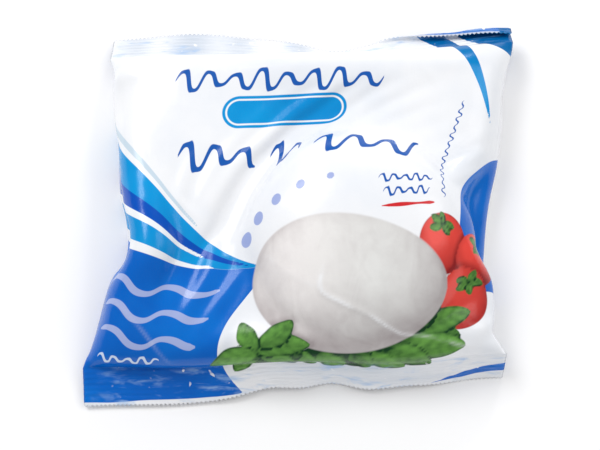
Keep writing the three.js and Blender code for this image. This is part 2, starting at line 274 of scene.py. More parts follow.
    def keep_contents(self, fill):
        """Stays outside the ball, and keeps the front film over the back film."""
        growth = fill ** (1 / 3)
        centre = self.size.ball_centre * np.array([1, 1, growth])
        radius = self.size.ball_semi_axes * growth
        inner = self.now[:, 1:-1]
        d = (inner - centre) / radius
        reach = np.sqrt((d * d).sum(axis=-1, keepdims=True))
        n = d / np.maximum(reach, 1e-9)
        skin = self.ball_skin(n)
        inner[:] = np.where(reach < skin, centre + n * skin * radius, inner)
        i = np.arange(1, self.half)
        front, back = inner[i, :, 2], inner[self.columns - i, :, 2]
        lack = np.maximum(MIN_GAP - (front - back), 0)
        inner[i, :, 2] += lack / 2
        inner[self.columns - i, :, 2] -= lack / 2

    def ball_skin(self, n):
        x, y, z = n[..., 0:1], n[..., 1:2], n[..., 2:3]
        broad = np.sin(3.1 * x + 2.3 * y + 0.5) + np.sin(4.7 * y - 2.9 * z + 1.9)
        return 1 + self.size.ball_unevenness * (broad + 0.6 * np.sin(6.3 * x - 3.7 * z))

    def lay_on_table(self):
        low = self.now[..., 2] < 0
        self.now[..., 2][low] = 0
        self.before[..., :2][low] = self.now[..., :2][low]

    def settle(self):
        steps = STEPS[self.level]
        for step in range(steps):
            fill = 1.0
            if self.level == 0:
                fill = min(1.0, FIRST_FILL + (1 - FIRST_FILL) * step / (FILLING_TIME * steps))
            self.pull_sides()
            self.move_on(DRIFT if step < SETTLING_TIME * steps else DRIFT_AT_END)
            self.settle_links()
            self.hold_volume(fill)
            self.keep_contents(fill)
            self.lay_on_table()
        return self

    def refined(self):
        fine = FilmNet(self.size, self.level + 1)
        fine.now[:, 1:-1] = halved(self.now)[:, 1:-1]
        fine.before = fine.now.copy()
        return fine


def unevenness(around, v):
    """The slight waviness that every film has, which decides where its wrinkles start."""
    waves = ((3, 2, 0.3), (5, 3, 1.7), (8, 5, 4.1), (13, 7, 2.2), (17, 11, 5.3), (23, 13, 0.9))
    total = 0
    for a, b, phase in waves:
        forward = 2 * np.pi * (a * around + b * v)
        backward = 2 * np.pi * (a * around - b * v)
        total = total + np.sin(forward + phase) * np.sin(backward + 2 * phase)
    return WAVINESS * total * np.sin(np.pi * v)


def halved(grid):
    """The same surface with every cell halved: smooth round the tube and up it."""
    n = grid.shape[0]
    around = np.empty((2 * n, *grid.shape[1:]))
    around[::2] = grid
    ahead, behind, further = np.roll(grid, -1, 0), np.roll(grid, 1, 0), np.roll(grid, -2, 0)
    around[1::2] = (9 * (grid + ahead) - behind - further) / 16
    before = 2 * around[:, :1] - around[:, 1:2]
    after = 2 * around[:, -1:] - around[:, -2:-1]
    tall = np.concatenate([before, around, after], axis=1)
    out = np.empty((2 * n, 2 * grid.shape[1] - 1, grid.shape[2]))
    out[:, ::2] = around
    out[:, 1::2] = (9 * (tall[:, 1:-2] + tall[:, 2:-1]) - tall[:, :-3] - tall[:, 3:]) / 16
    return out


# ---- The end seals: flat strips that may turn over ---------------------------------------------------

TURNED_OVER = 188       # degrees
FOLD_LENGTH = 3.6       # of film, round the bend


def seal_strip(seal, size, half, rows):
    """The middle of a seal by column and row, from the chamber out, and the way its printed side faces."""
    line = seal_line(seal, half, size.film_width)
    u = np.linspace(0, 1, half + 1)
    ahead, behind = np.append(line[1:], line[-1:], axis=0), np.append(line[:1], line[:-1], axis=0)
    along = (ahead - behind)[:, :2]
    along /= np.linalg.norm(along, axis=1, keepdims=True)
    out = np.stack([-along[:, 1], along[:, 0], 0 * u], axis=1) * seal.outward

    def angle(share):
        turned = (share * size.seal_width - seal.fold_line(u, size.seal_width)[:, None]) / FOLD_LENGTH
        return np.radians(seal.pitch(u)[:, None] + TURNED_OVER * np.clip(turned, 0, 1))

    def direction(radians):
        return np.cos(radians)[..., None] * out[:, None] + np.sin(radians)[..., None] * np.array([0, 0, 1])

    steps = direction(angle((np.arange(rows) + 0.5) / rows)) * size.seal_width / rows
    place = line[:, None] + np.concatenate([np.zeros((half + 1, 1, 3)), np.cumsum(steps, axis=1)], axis=1)
    facing = direction(angle(np.arange(rows + 1) / rows) + np.pi / 2)
    return place, facing


# ---- The whole skin ------------------------------------------------------------------------------------

SEAL_ROWS = 32          # cells across each seal
PARTING_LENGTH = 3.0    # of film beside a seal, over which front and back part
CREASE_FADE = 2.5       # of film beside a seal, over which the creases and the fin's room begin
SEAL_CLEARANCE = 0.4    # from the middle of a seal to the back film behind it
FIN_MIDDLE = 205.5      # the middle of the back, measured round the film
FIN_ROOM = 0.4          # by which the back film gives way to the fin
# Creases from handling, as lines on the film, and how far they rise and reach to either side.
CREASES = (
    (((80.5, 47), (79, 40), (85, 36), (92, 32), (101, 25), (110, 23), (118, 20), (126, 17)), 0.55, 0.85),
    (((17.5, 93), (21, 83), (25, 76), (30, 70), (37, 64)), 0.34, 1.2),
    (((79, 40), (70, 44), (61, 50)), 0.22, 1.3),
    (((30, 121), (27, 112), (29, 104)), 0.20, 1.4),
    (((104, 118), (112, 108), (116, 97), (117, 88)), 0.22, 1.5),
    (((8, 38), (20, 30), (30, 18)), 0.20, 1.4),
)


def smooth_line(points, steps=6):
    """A smooth line through a few points."""
    p = np.array(points, float)
    if len(p) < 3:
        return p
    q = np.vstack([2 * p[0] - p[1], p, 2 * p[-1] - p[-2]])
    t = np.arange(steps)[:, None] / steps
    parts = []
    for a, b, c, d in zip(q, q[1:], q[2:], q[3:]):
        bend = t ** 2 * (2 * a - 5 * b + 4 * c - d) + t ** 3 * (3 * b - a - 3 * c + d)
        parts.append(b + 0.5 * (t * (c - a) + bend))
    return np.vstack([*parts, p[-1:]])


def distance_to(line, x, y):
    """Distance from each point to a line of short straight pieces."""
    nearest = np.full(x.shape, 1e9)
    for (ax, ay), (bx, by) in zip(line, line[1:]):
        ex, ey = bx - ax, by - ay
        k = np.clip(((x - ax) * ex + (y - ay) * ey) / (ex * ex + ey * ey + 1e-12), 0, 1)
        nearest = np.minimum(nearest, (x - ax - k * ex) ** 2 + (y - ay - k * ey) ** 2)
    return np.sqrt(nearest)


def outward_normals(point):
    """The direction away from the inside at each point of the closed tube."""
    round_it = np.roll(point, -1, axis=0) - np.roll(point, 1, axis=0)
    up_it = np.gradient(point, axis=1)
    normal = np.cross(round_it, up_it)
    return normal / np.maximum(np.linalg.norm(normal, axis=2, keepdims=True), 1e-9)


def softened(net):
    """The net without the ripples that are as short as its own cells; its ends and sides stay."""
    out = net.copy()
    half = net.shape[0] // 2
    for _ in range(2):
        even = (np.roll(out, 1, 0) + np.roll(out, -1, 0) + 2 * out) / 4
        even[:, 1:-1] = (even[:, :-2] + even[:, 2:] + 2 * even[:, 1:-1]) / 4
        even[[0, half]] = out[[0, half]]
        out[:, 1:-1] = even[:, 1:-1]
    return out


def creases(x, y):
    """Each handling crease: its rise, its reach and how far each point is from it and from its nearer end."""
    for points, rise, reach in CREASES:
        line = smooth_line(points)
        first, last = (np.hypot(x - end[0], y - end[1]) for end in (line[0], line[-1]))
        yield rise, reach, distance_to(line, x, y), np.minimum(first, last)


def crease_height(around, along):
    """How far the handling creases lift the film."""
    x, y = np.meshgrid(around, along, indexing="ij")
    height = np.zeros_like(x)
    for rise, reach, away, from_end in creases(x, y):
        height += ramp(0, 7, from_end) * rise * (bump(0, reach, away) - 0.35 * bump(0, 3 * reach, away))
    return height


def painted_crease_highlights(film):
    """A painted highlight: a thin light line along the sharpest handling creases, where they would catch the
    light.
    """
    x, y = np.meshgrid(film.around, film.along, indexing="ij")
    mark = np.zeros_like(x)
    for rise, _, away, from_end in creases(x, y):
        mark = np.maximum(mark, ramp(0.1, 0.5, rise) * ramp(0, 3, from_end) * bump(0, 0.5, away))
    return mark * (1 - 0.6 * ramp(98, 106, x))


def tuck_back(body, place, facing):
    """Keeps the back film behind a seal that bends down over it."""
    half = len(place) - 1
    line = place[::-1][1:-1, None, 0]
    ahead = (place[:, 1] - place[:, 0])[::-1][1:-1, None]
    ahead = ahead / np.linalg.norm(ahead, axis=2, keepdims=True)
    out = facing[::-1][1:-1, None, 0]
    rel = body[half + 1:] - line
    beyond = (rel * ahead).sum(axis=2, keepdims=True)
    lack = np.maximum((rel * out).sum(axis=2, keepdims=True) + SEAL_CLEARANCE, 0)
    body[half + 1:] -= lack * ramp(0, 0.5, beyond) * out


@functools.lru_cache(maxsize=1)
def settled_net(width, length, seal_width, volume, semi_axes, centre, uneven):
    """The film between the seals, after settling on ever finer nets."""
    size = SimpleNamespace(
        film_width=width, film_length=length, seal_width=seal_width, fill_volume=volume,
        ball_semi_axes=np.array(semi_axes), ball_centre=np.array(centre), ball_unevenness=uneven,
    )
    net = FilmNet(size, 0).settle()
    while net.level < len(STEPS) - 1:
        net = net.refined().settle()
    return size, net.now


def mm(value):
    """Metres as millimetres, rounded so that the single precision of a property leaves no trace."""
    return round(value * 1e3, 3)


def film_skin(sizes):
    """Every point of the film by column and row, with what the pieces on it need to know."""
    size, net = settled_net(
        mm(sizes.film_width), mm(sizes.film_length), mm(sizes.seal_width), round(sizes.fill_volume * 1e9, 1),
        tuple(mm(v) / 2 for v in sizes.ball_size), tuple(mm(v) for v in sizes.ball_place),
        round(sizes.ball_unevenness, 4),
    )
    body = halved(softened(net))
    columns, rows = body.shape[0], body.shape[1] - 1
    half = columns // 2
    i = np.arange(columns)
    k = np.where(i <= half, i, columns - i)
    side = np.where((i == 0) | (i == half), 0, np.where(i < half, 1, -1))[:, None, None]
    bottom, bottom_facing = seal_strip(BottomSeal, size, half, SEAL_ROWS)
    top, top_facing = seal_strip(TopSeal, size, half, SEAL_ROWS)
    part = side * mm(sizes.film_thickness) / 2
    low = bottom[k] + part * bottom_facing[k]
    high = top[k] + part * top_facing[k]
    seal_step = size.seal_width / SEAL_ROWS
    body_step = (size.film_length - 2 * size.seal_width) / rows
    beside = np.maximum(1 - np.arange(rows + 1) * body_step / PARTING_LENGTH, 0)[:, None]
    body = body + part * (beside * bottom_facing[k][:, :1] + beside[::-1] * top_facing[k][:, :1])
    tuck_back(body, bottom, bottom_facing)
    tuck_back(body, top, top_facing)
    body[:, 0], body[:, -1] = low[:, 0], high[:, 0]
    point = np.concatenate([low[:, :0:-1], body, high[:, 1:]], axis=1)
    along = np.concatenate([
        np.arange(SEAL_ROWS) * seal_step,
        size.seal_width + np.arange(rows + 1) * body_step,
        size.film_length - size.seal_width + np.arange(1, SEAL_ROWS + 1) * seal_step,
    ])
    around = i * size.film_width / half
    normal = outward_normals(point)
    facing = normal.copy()
    facing[:, :SEAL_ROWS] = bottom_facing[k][:, :0:-1]
    facing[:, -SEAL_ROWS:] = top_facing[k][:, 1:]

    in_chamber = ramp(0, CREASE_FADE, along - size.seal_width)
    in_chamber *= ramp(0, CREASE_FADE, size.film_length - size.seal_width - along)
    point = point + normal * (crease_height(around, along) * in_chamber)[..., None]
    fin_half = mm(sizes.fin_width) / 2
    under_fin = 1 - ramp(fin_half, fin_half + 1, np.abs(around - FIN_MIDDLE))
    point = point - normal * (FIN_ROOM * np.outer(under_fin, in_chamber))[..., None]
    point[..., 2] = np.maximum(point[..., 2], 0)

    lowest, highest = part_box(NODE)
    middle = 0.5e3 * (np.array(lowest) + np.array(highest))
    own_middle = (point.min(axis=(0, 1)) + point.max(axis=(0, 1))) / 2
    shift = (middle - own_middle) * (1, 1, 0)
    return SimpleNamespace(
        point=point + shift, around=around, along=along, facing=facing, normal=normal,
        width=size.film_width, length=size.film_length, seal_width=size.seal_width, half=half,
    )


# ---- The print, as outlines on the film --------------------------------------------------------------
# x runs round the film from the left side: 0 to 137 is the front, and below 0 is the back next to the left
# side. y runs up from the bottom cut edge. Each outline is a ring of edges, which meet in corners.

FAR = 12.0              # from an outline, past which depths are not worked out
SWEEP = 1.5             # how hollow the bands are
FAN_TIP = (62, 46)      # where the bands that sweep in from the left side run out
CORNER_TIP = (131.5, 88)  # the same for the band that sweeps down from the top seal
CORNER_TOP = 141        # where that band starts


def fan_border(level, stop=1.0):
    """One border of a band, from the back round the left side to the tip, by its height at that side."""
    share = np.append(np.linspace(0, stop, 9), min(stop + 0.025, 1))
    height = FAN_TIP[1] + (level - FAN_TIP[1]) * (1 - share) ** SWEEP
    on_front = [(FAN_TIP[0] * k, y) for k, y in zip(share, height)]
    return [(-34, level + 7), (-16, level + 8), *on_front]


def fan_band(low, high, stop=1.0):
    """A band between two borders, which may end before the tip."""
    upper, lower = fan_border(high, stop), fan_border(low, stop)
    upper[-1] = lower[-1] = (upper[-1][0], (upper[-1][1] + lower[-1][1]) / 2)
    return upper, lower[::-1], (lower[0], (-37, (low + high) / 2 + 7), upper[0])


def corner_border(start):
    """One border of a band from the top cut edge, which ends a little before the tip."""
    share = np.linspace(0.17, 1, 8)
    x = CORNER_TIP[0] - (CORNER_TIP[0] - start) * share ** SWEEP
    return list(zip(x, CORNER_TIP[1] + (CORNER_TOP - CORNER_TIP[1]) * share))


def corner_band(left, right):
    """A band from the top cut edge down towards the corner tip, by where it starts on that edge."""
    first, second = corner_border(left), corner_border(right)
    first[0] = second[0]
    return first, (first[-1], second[-1]), second[::-1]


def on_oval(centre, across, up, degrees):
    """The point on an oval at an angle."""
    turn = math.radians(degrees)
    return centre[0] + across * math.cos(turn), centre[1] + up * math.sin(turn)


def oval(centre, across, up, first=0, last=360):
    """Points on an oval, from one angle to another."""
    return [on_oval(centre, across, up, degrees) for degrees in np.linspace(first, last, 25)]


def soft_oval(centre, across, up):
    """An oval that sags a little to one side, as a soft ball does."""
    points = []
    for degrees in np.linspace(0, 360, 29):
        t = math.radians(degrees)
        sag = 1 + 0.035 * math.cos(2 * t + 0.9) + 0.02 * math.sin(3 * t + 0.4)
        points.append(on_oval(centre, across * sag, up * sag, degrees))
    return points


def dot_beside_ball(k):
    """One of a row of growing dots along the ball's upper left."""
    middle = on_oval(BALL_MIDDLE, BALL_ACROSS + 9, BALL_UP + 9, 94 + 13 * k)
    return (oval(middle, 1 + 0.35 * k, 1 + 0.35 * k),)


BALL_MIDDLE, BALL_ACROSS, BALL_UP = (85, 38.8), 28.4, 20.6
LEFT_FIELD_TOP = 57     # at the left side
# The flat fields. The bare ones are cut out of the blue, teal and dark ones.
FIELDS = {
    "blue": (
        (
            fan_border(LEFT_FIELD_TOP),
            (FAN_TIP, (54, 37.5), (47.6, 29), (45, 20), (46.2, 11), (52, 0.8)),
            ((52, 0.8), (38, 1.6), (22, 1.6), (10, 0.9), (0, 1.2), (-20, 1.5), (-34, 1.2)),
            ((-34, 1.2), (-38, 30), (-34, LEFT_FIELD_TOP + 7)),
        ),
        (
            ((143, 90), (134, 85), (125.5, 74), (120.5, 62), (119, 50), (121, 36)),
            ((121, 36), (143, 36)),
            ((143, 36), (143, 90)),
        ),
        (
            ((112, 1), (122, 4.5), (132, 7), (143, 8.5)),
            ((143, 8.5), (143, 5), (132, 3.6), (112, 1)),
        ),
    ),
    "teal": (
        fan_band(LEFT_FIELD_TOP, 99),
        corner_band(105, 114),
        (oval((141, 146), 23, 22, 180, 270), ((141, 124), (141, 146)), ((141, 146), (118, 146))),
    ),
    "dark": (fan_band(72, 84.2, 0.86),),
    "bare": (fan_band(LEFT_FIELD_TOP - 0.5, 61, 0.66), fan_band(72, 76, 0.6)),
    "pale": (fan_band(103, 107, 0.55),),
    "lavender": [dot_beside_ball(k) for k in range(5)],
    "ball": ((soft_oval(BALL_MIDDLE, BALL_ACROSS, BALL_UP),),),
}
# Small tomatoes, from the one behind to the one in front: the middle, the radius and where the stem sits.
TOMATOES = (
    ((113.2, 51.6), 8.6, (-0.1, 0.62)),
    ((126.4, 46.4), 8.9, (0.2, 0.6)),
    ((120.2, 34.4), 10.2, (0.3, 0.5)),
)
# Leaves: where each starts and ends, its half width, its bow to one side and how light it is.
REAR_LEAVES = (
    ((94, 25), (120, 22), 7.0, -1.0, -0.42),
    ((72, 19), (106, 15), 5.4, -0.5, -0.42),
    ((104, 24), (123.5, 30), 4.4, 0.8, 0.0),
    ((100, 22), (122, 19), 4.8, -0.9, 0.12),
    ((102, 25), (113, 34), 3.6, -0.6, -0.1),
    ((95, 20), (112.5, 11.5), 4.4, 0.9, -0.06),
    ((90, 19), (104, 10.8), 3.6, -0.7, 0.1),
    ((86, 19.5), (93, 10.6), 4.0, 0.5, -0.08),
    ((76, 19), (85, 11.2), 4.0, -0.6, 0.08),
    ((68, 19), (76, 11.8), 3.4, 0.4, -0.04),
)
FRONT_LEAVES = (
    ((50, 18), (72, 18), 5.6, 0.0, -0.42),
    ((58, 19), (70, 12.2), 3.4, 0.5, -0.02),
    ((57, 17), (49.5, 9.8), 3.4, -0.6, -0.04),
    ((57, 19.5), (74, 21.5), 3.8, 0.8, 0.08),
    ((58, 21), (69, 29.5), 3.5, -0.9, -0.02),
    ((58, 20), (52.5, 29.5), 3.1, 0.6, 0.05),
    ((58, 19), (42, 15), 3.9, -0.9, 0.14),
)


def stem_of(tomato):
    (x, y), size, (right, up) = tomato
    return x + right * size, y + up * size


def calyx(tomato):
    """Five short leaves in a star round a tomato's stem."""
    (x, y), size = stem_of(tomato), tomato[1]
    leaves = []
    for k in range(5):
        tip = on_oval((x, y), 0.56 * size, 0.42 * size, 72 * k + 20 * math.sin(x + 2 * k))
        leaves.append(((x, y), tip, 0.15 * size, 0.3 * math.cos(2 * k), 0.1 * math.sin(3 * k)))
    return leaves


def depth_inside(shape, x, y):
    """How far inside a ring of edges each point lies; below zero outside it."""
    ring = np.vstack([smooth_line(edge)[:-1] for edge in shape])
    ring = np.vstack([ring, ring[:1]])
    (left, low), (right, high) = ring.min(axis=0) - FAR, ring.max(axis=0) + FAR
    near = (x > left) & (x < right) & (y > low) & (y < high)
    px, py = x[near], y[near]
    inside = np.zeros(px.shape, bool)
    for (ax, ay), (bx, by) in zip(ring, ring[1:]):
        if ay != by:
            inside ^= ((ay > py) != (by > py)) & (px < (bx - ax) * (py - ay) / (by - ay) + ax)
    depth = np.full(x.shape, -FAR)
    depth[near] = np.where(inside, 1, -1) * distance_to(ring, px, py)
    return depth


def depth_in_any(shapes, x, y, film_round):
    """Depth inside the deepest of some outlines, carried on round the left side onto the back."""
    depth = np.full(x.shape, -FAR)
    for shape in shapes:
        for turned in (x, x - film_round):
            depth = np.maximum(depth, depth_inside(shape, turned, y))
    return depth


def leaf_field(leaves, x, y):
    """Depth inside some leaves, and the light on the one that lies on top."""
    depth, light = np.full(x.shape, -FAR), np.full(x.shape, 0.5)
    for (bx, by), (tx, ty), half_width, bow, shade in leaves:
        length = math.hypot(tx - bx, ty - by)
        ux, uy = (tx - bx) / length, (ty - by) / length
        k = ((x - bx) * ux + (y - by) * uy) / length
        kept = np.clip(k, 0, 1)
        across = (y - by) * ux - (x - bx) * uy - bow * np.sin(np.pi * kept)
        width = half_width * np.sin(np.pi * kept ** 0.9) ** 0.6 * (1 + 0.05 * np.sin(11 * kept + bx))
        own = np.minimum(width - np.abs(across), length * np.minimum(k, 1 - k))
        aside = np.clip(np.abs(across) / np.maximum(width, 0.3), 0, 1)
        veins = np.sin(2 * np.pi * (0.28 * length * kept - 0.9 * aside))
        lit = 0.46 + shade + 0.1 * veins + 0.2 * bump(0, 0.09, aside) + 0.3 * bump(0.5, 0.3, aside)
        lit += 0.2 * np.sign(across) * aside - 0.5 * ramp(0.8, 0, own) - 0.3 * ramp(0.3, 0, kept)
        light = np.where(own > 0, lit, light)
        depth = np.maximum(depth, own)
    return depth, light


def light_on_round(x, y, middle, across, up):
    """Light from the upper left on a pictured round thing, from 0 in shade to 1."""
    u, v = (x - middle[0]) / across, (y - middle[1]) / up
    towards = np.sqrt(np.clip(1 - u * u - v * v, 0, 1))
    lit = np.clip(0.84 * towards + 0.5 * v - 0.16 * u, 0, 1)
    return 0.16 + 0.84 * lit + 0.16 * ramp(0.7, 1, -v) * (1 - towards)


def ball_light(x, y, front_green):
    """Light on the pictured ball, which the leaves before it shade a little."""
    light = light_on_round(x, y, BALL_MIDDLE, BALL_ACROSS, BALL_UP)
    light += 0.12 * bump(66, 10, x) * bump(43, 9, y)
    light += 0.05 * np.sin(0.24 * x + 0.1 * y) * np.sin(0.2 * y - 0.07 * x)
    return light - 0.3 * ramp(2.2, 0, -front_green)


def tomato_field(x, y):
    """Depth inside the pictured tomatoes, and the light on the one that lies in front."""
    depth, light = np.full(x.shape, -FAR), np.full(x.shape, 0.5)
    for tomato in TOMATOES:
        (mx, my), size, _ = tomato
        stem_x, stem_y = stem_of(tomato)
        own = size - np.hypot(x - mx, y - my)
        lit = 0.1 + 0.9 * light_on_round(x, y, (mx, my), size, size)
        lit += 0.36 * bump(mx - 0.36 * size, 0.2 * size, x) * bump(my + 0.3 * size, 0.24 * size, y)
        lit -= 0.3 * ramp(0.4 * size, 0, np.hypot(x - stem_x, y - stem_y))
        light = np.where(own > 0, lit, light - 0.45 * ramp(0.25 * size, 0, -own))
        depth = np.maximum(depth, own)
    return depth, light


def painted_seal_shade_and_plate_grey(x, y, film):
    """Painted shade and reflection: soft grey-blue patches on the top seal where it bends and droops, and
    soft grey on the bottom seal under the ball; the grey along the pictured plate's left rim is the plate's
    own print.
    """
    # painted shade and reflection on the top seal, where it bends away from the light
    on_seal = ramp(film.length - 15, film.length - 9, y)
    seal = 0.55 * bump(8, 6, x) + 0.75 * bump(27, 8, x) + 0.55 * bump(44, 5, x) + 0.7 * bump(64, 5, x)
    # the printed shade along the pictured plate's left rim
    plate = 0.5 * bump(47, 2.2, x - 0.25 * (y - 18)) * bump(18, 9, y)
    # painted shade on the bottom seal below the ball
    plate += 0.55 * bump(84, 26, x) * bump(9.5, 3.2, y) + 0.35 * bump(104, 18, x) * bump(4, 2.4, y)
    return np.clip(seal * on_seal + plate, 0, 1)


def back_seal_depth(film):
    """Depth inside the blue of the back's top end, up the film."""
    from_top = film.length - film.along
    return np.minimum(film.seal_width + 3 - from_top, from_top - 0.5)


def print_fields(film):
    """The depth inside each part of the print, and the light on its pictures, at every point of the film."""
    x, y = np.meshgrid(film.around, film.along, indexing="ij")
    film_round = 2 * film.width
    fields = {"print_" + name: depth_in_any(shapes, x, y, film_round) for name, shapes in FIELDS.items()}
    bare = fields.pop("print_bare")
    for name in ("print_blue", "print_teal", "print_dark"):
        fields[name] = np.minimum(fields[name], -bare)
    from_ball = -fields["print_ball"]
    fields["print_red"], fields["tomato_light"] = tomato_field(x, y)
    fields["print_rear_green"], rear_light = leaf_field(REAR_LEAVES, x, y)
    front_depth, front_light = leaf_field(FRONT_LEAVES, x, y)
    calyx_depth, calyx_light = leaf_field([leaf for tomato in TOMATOES for leaf in calyx(tomato)], x, y)
    calyx_depth = np.minimum(calyx_depth, from_ball)
    fields["print_front_green"] = np.maximum(front_depth, calyx_depth)
    rear_light -= 0.4 * ramp(3.0, 0, from_ball)
    light = np.where(calyx_depth > 0, calyx_light, rear_light)
    fields["leaf_light"] = np.where(front_depth > 0, front_light, light)
    fields["ball_light"] = ball_light(x, y, front_depth)
    # painted shade on the seals, with the plate's printed shade
    fields["soft_grey"] = painted_seal_shade_and_plate_grey(x, y, film)
    on_back = np.minimum(x - film.width - 0.4, film_round - 0.4 - x)
    fields["print_back_seal"] = np.minimum(on_back, back_seal_depth(film))
    return fields


# ---- Meshes --------------------------------------------------------------------------------------------

FILM_MAP = "film"       # the film's map of itself, unrolled


def grid_faces(grid):
    """The four-cornered faces of a grid, each as what the grid holds at its corners."""
    corners = [grid[:-1, :-1], grid[1:, :-1], grid[1:, 1:], grid[:-1, 1:]]
    return np.stack(corners, axis=-1).reshape(-1, 4)


def new_mesh(name, point, faces):
    mesh = bpy.data.meshes.new(name)
    mesh.from_pydata((point.reshape(-1, 3) * 1e-3).tolist(), [], faces)
    mesh.shade_smooth()
    return mesh


def tube_mesh(name, film):
    """A closed mesh of the whole film, whose two sides meet at its ends, with its own unrolled map."""
    columns, rows = film.point.shape[:2]
    number = np.arange(columns * rows).reshape(columns, rows)
    closed = np.concatenate([number, number[:1]])
    faces = grid_faces(closed).tolist()
    for row, turned in ((0, False), (-1, True)):
        end = closed[:, row].tolist()
        for k in range(film.half):
            ring = list(dict.fromkeys((end[k], end[columns - k], end[columns - k - 1], end[k + 1])))
            faces.append(ring[::-1] if turned else ring)
    mesh = new_mesh(name, film.point, faces)
    across, up = np.meshgrid(np.arange(columns + 1) * film.around[1], film.along, indexing="ij")
    unrolled = np.stack([grid_faces(across) / (2 * film.width), grid_faces(up) / film.length], axis=-1)
    uv = np.zeros((len(mesh.loops), 2))
    uv[:unrolled.size // 2] = unrolled.reshape(-1, 2)
    mesh.uv_layers.new(name=FILM_MAP).data.foreach_set("uv", uv.ravel().astype(np.float32))
    return mesh


def slab_mesh(name, inner, outer):
    """A closed mesh between two grids of points, which come in this order."""
    inside, outside = np.arange(inner.size // 3 * 2).reshape(2, *inner.shape[:2])
    rims = (
        (inside[:, 0], outside[:, 0]), (outside[:, -1], inside[:, -1]),
        (outside[0], inside[0]), (inside[-1], outside[-1]),
    )
    grids = [outside, inside.T, *(np.stack(rim, axis=1) for rim in rims)]
    faces = np.concatenate([grid_faces(grid) for grid in grids]).tolist()
    return new_mesh(name, np.stack([inner, outer]), faces)


def store(mesh, name, values, kind="FLOAT"):
    """Keeps a value or a vector for each point of a mesh."""
    attribute = mesh.attributes.new(name, kind, "POINT")
    key = "vector" if kind == "FLOAT_VECTOR" else "value"
    attribute.data.foreach_set(key, np.asarray(values, np.float32).ravel())


def add_object(name, data):
    made = bpy.data.objects.new(name, data)
    bpy.context.scene.collection.objects.link(made)
    return made


def apply_tree(piece, tree, values):
    """Runs a node tree on a piece once, with its inputs set by their identifiers, and keeps the mesh."""
    modifier = piece.modifiers.new(tree.name, "NODES")
    modifier.node_group = tree
    inputs = [s for s in tree.interface.items_tree if s.item_type == "SOCKET" and s.in_out == "INPUT"]
    identifiers = {s.name: s.identifier for s in inputs}
    for name, value in values.items():
        modifier[identifiers[name]] = value
    piece.update_tag()
    depsgraph = bpy.context.evaluated_depsgraph_get()
    depsgraph.update()
    made = bpy.data.meshes.new_from_object(
        piece.evaluated_get(depsgraph), preserve_all_data_layers=True, depsgraph=depsgraph)
    piece.modifiers.remove(modifier)
    old, piece.data = piece.data, made
    made.name = piece.name
    bpy.data.meshes.remove(old)


# ---- Node trees ----------------------------------------------------------------------------------------

FLOAT, COLOUR = "NodeSocketFloat", "NodeSocketColor"
GEOMETRY, MATERIAL = "NodeSocketGeometry", "NodeSocketMaterial"
SEEDED = {"noise_dimensions": "4D"}


class Value:
    """A socket of a tree, whose sums and products become Math nodes."""

    def __init__(self, nodes, socket):
        self.nodes, self.socket = nodes, socket

    def __add__(self, other):
        return self.nodes.math("ADD", self, other)

    def __sub__(self, other):
        return self.nodes.math("SUBTRACT", self, other)

    def __rsub__(self, other):
        return self.nodes.math("SUBTRACT", other, self)

    def __mul__(self, other):
        return self.nodes.math("MULTIPLY", self, other)

    def __truediv__(self, other):
        return self.nodes.math("DIVIDE", self, other)

    def __rtruediv__(self, other):
        return self.nodes.math("DIVIDE", other, self)

    def __abs__(self):
        return self.nodes.math("ABSOLUTE", self)

    __radd__, __rmul__ = __add__, __mul__


class Nodes:
    """Short ways to add and join nodes in a tree."""

    def __init__(self, tree):
        self.tree = tree

    def feed(self, socket, value):
        value = getattr(value, "socket", value)
        if isinstance(value, bpy.types.NodeSocket):
            self.tree.links.new(value, socket)
        else:
            socket.default_value = value

    def add(self, kind, settings=None, **inputs):
        node = self.tree.nodes.new(kind)
        for key, value in (settings or {}).items():
            setattr(node, key, value)
        for key, value in inputs.items():
            self.feed(node.inputs[key.replace("_", " ")], value)
        return node

    def make(self, kind, settings=None, **inputs):
        """Adds a node and gives its first output in use."""
        return Value(self, next(s for s in self.add(kind, settings, **inputs).outputs if s.enabled))

    def math(self, operation, *values):
        node = self.add("ShaderNodeMath", {"operation": operation})
        for socket, value in zip(node.inputs, values):
            self.feed(socket, value)
        return Value(self, node.outputs[0])

    def smooth(self, value, start, end, low=0.0, high=1.0):
        """Turns smoothly from low to high while a value goes from start to end."""
        return self.make("ShaderNodeMapRange", {"interpolation_type": "SMOOTHSTEP"},
                         Value=value, From_Min=start, From_Max=end, To_Min=low, To_Max=high)

    def mix(self, factor, first, second):
        node = self.add("ShaderNodeMix", {"data_type": "RGBA"}, Factor=factor)
        for socket, value in zip([s for s in node.inputs if s.type == "RGBA"], (first, second)):
            self.feed(socket, value)
        return Value(self, next(s for s in node.outputs if s.type == "RGBA"))

    def noise(self, place, scale, detail=2.0, settings=None, **inputs):
        return self.make("ShaderNodeTexNoise", settings, Vector=place, Scale=scale, Detail=detail, **inputs)

    def place(self):
        return self.add("ShaderNodeTexCoord").outputs["Object"]

    def attribute(self, name):
        return Value(self, self.add("ShaderNodeAttribute", {"attribute_name": name}).outputs["Fac"])

    def group(self, name, **inputs):
        return self.add("ShaderNodeGroup", {"node_tree": bpy.data.node_groups[name]}, **inputs).outputs

    def ink(self, below, colour, depth, softness=0.12):
        """Lays an ink over what is below it, wherever a depth is above zero."""
        return self.group("Ink", Below=below, Ink=colour, Depth=depth, Softness=softness)[0]


def new_tree(name, kind, inputs, outputs):
    """A node group, as what adds its nodes, what it is given and what it gives."""
    tree = bpy.data.node_groups.new(name, kind)
    for in_out, sockets in (("INPUT", inputs), ("OUTPUT", outputs)):
        for label, socket_type, default in sockets:
            socket = tree.interface.new_socket(label, in_out=in_out, socket_type=socket_type)
            if default is not None:
                socket.default_value = default
    n = Nodes(tree)
    given = {s.name: Value(n, s) for s in tree.nodes.new("NodeGroupInput").outputs}
    return n, given, tree.nodes.new("NodeGroupOutput").inputs


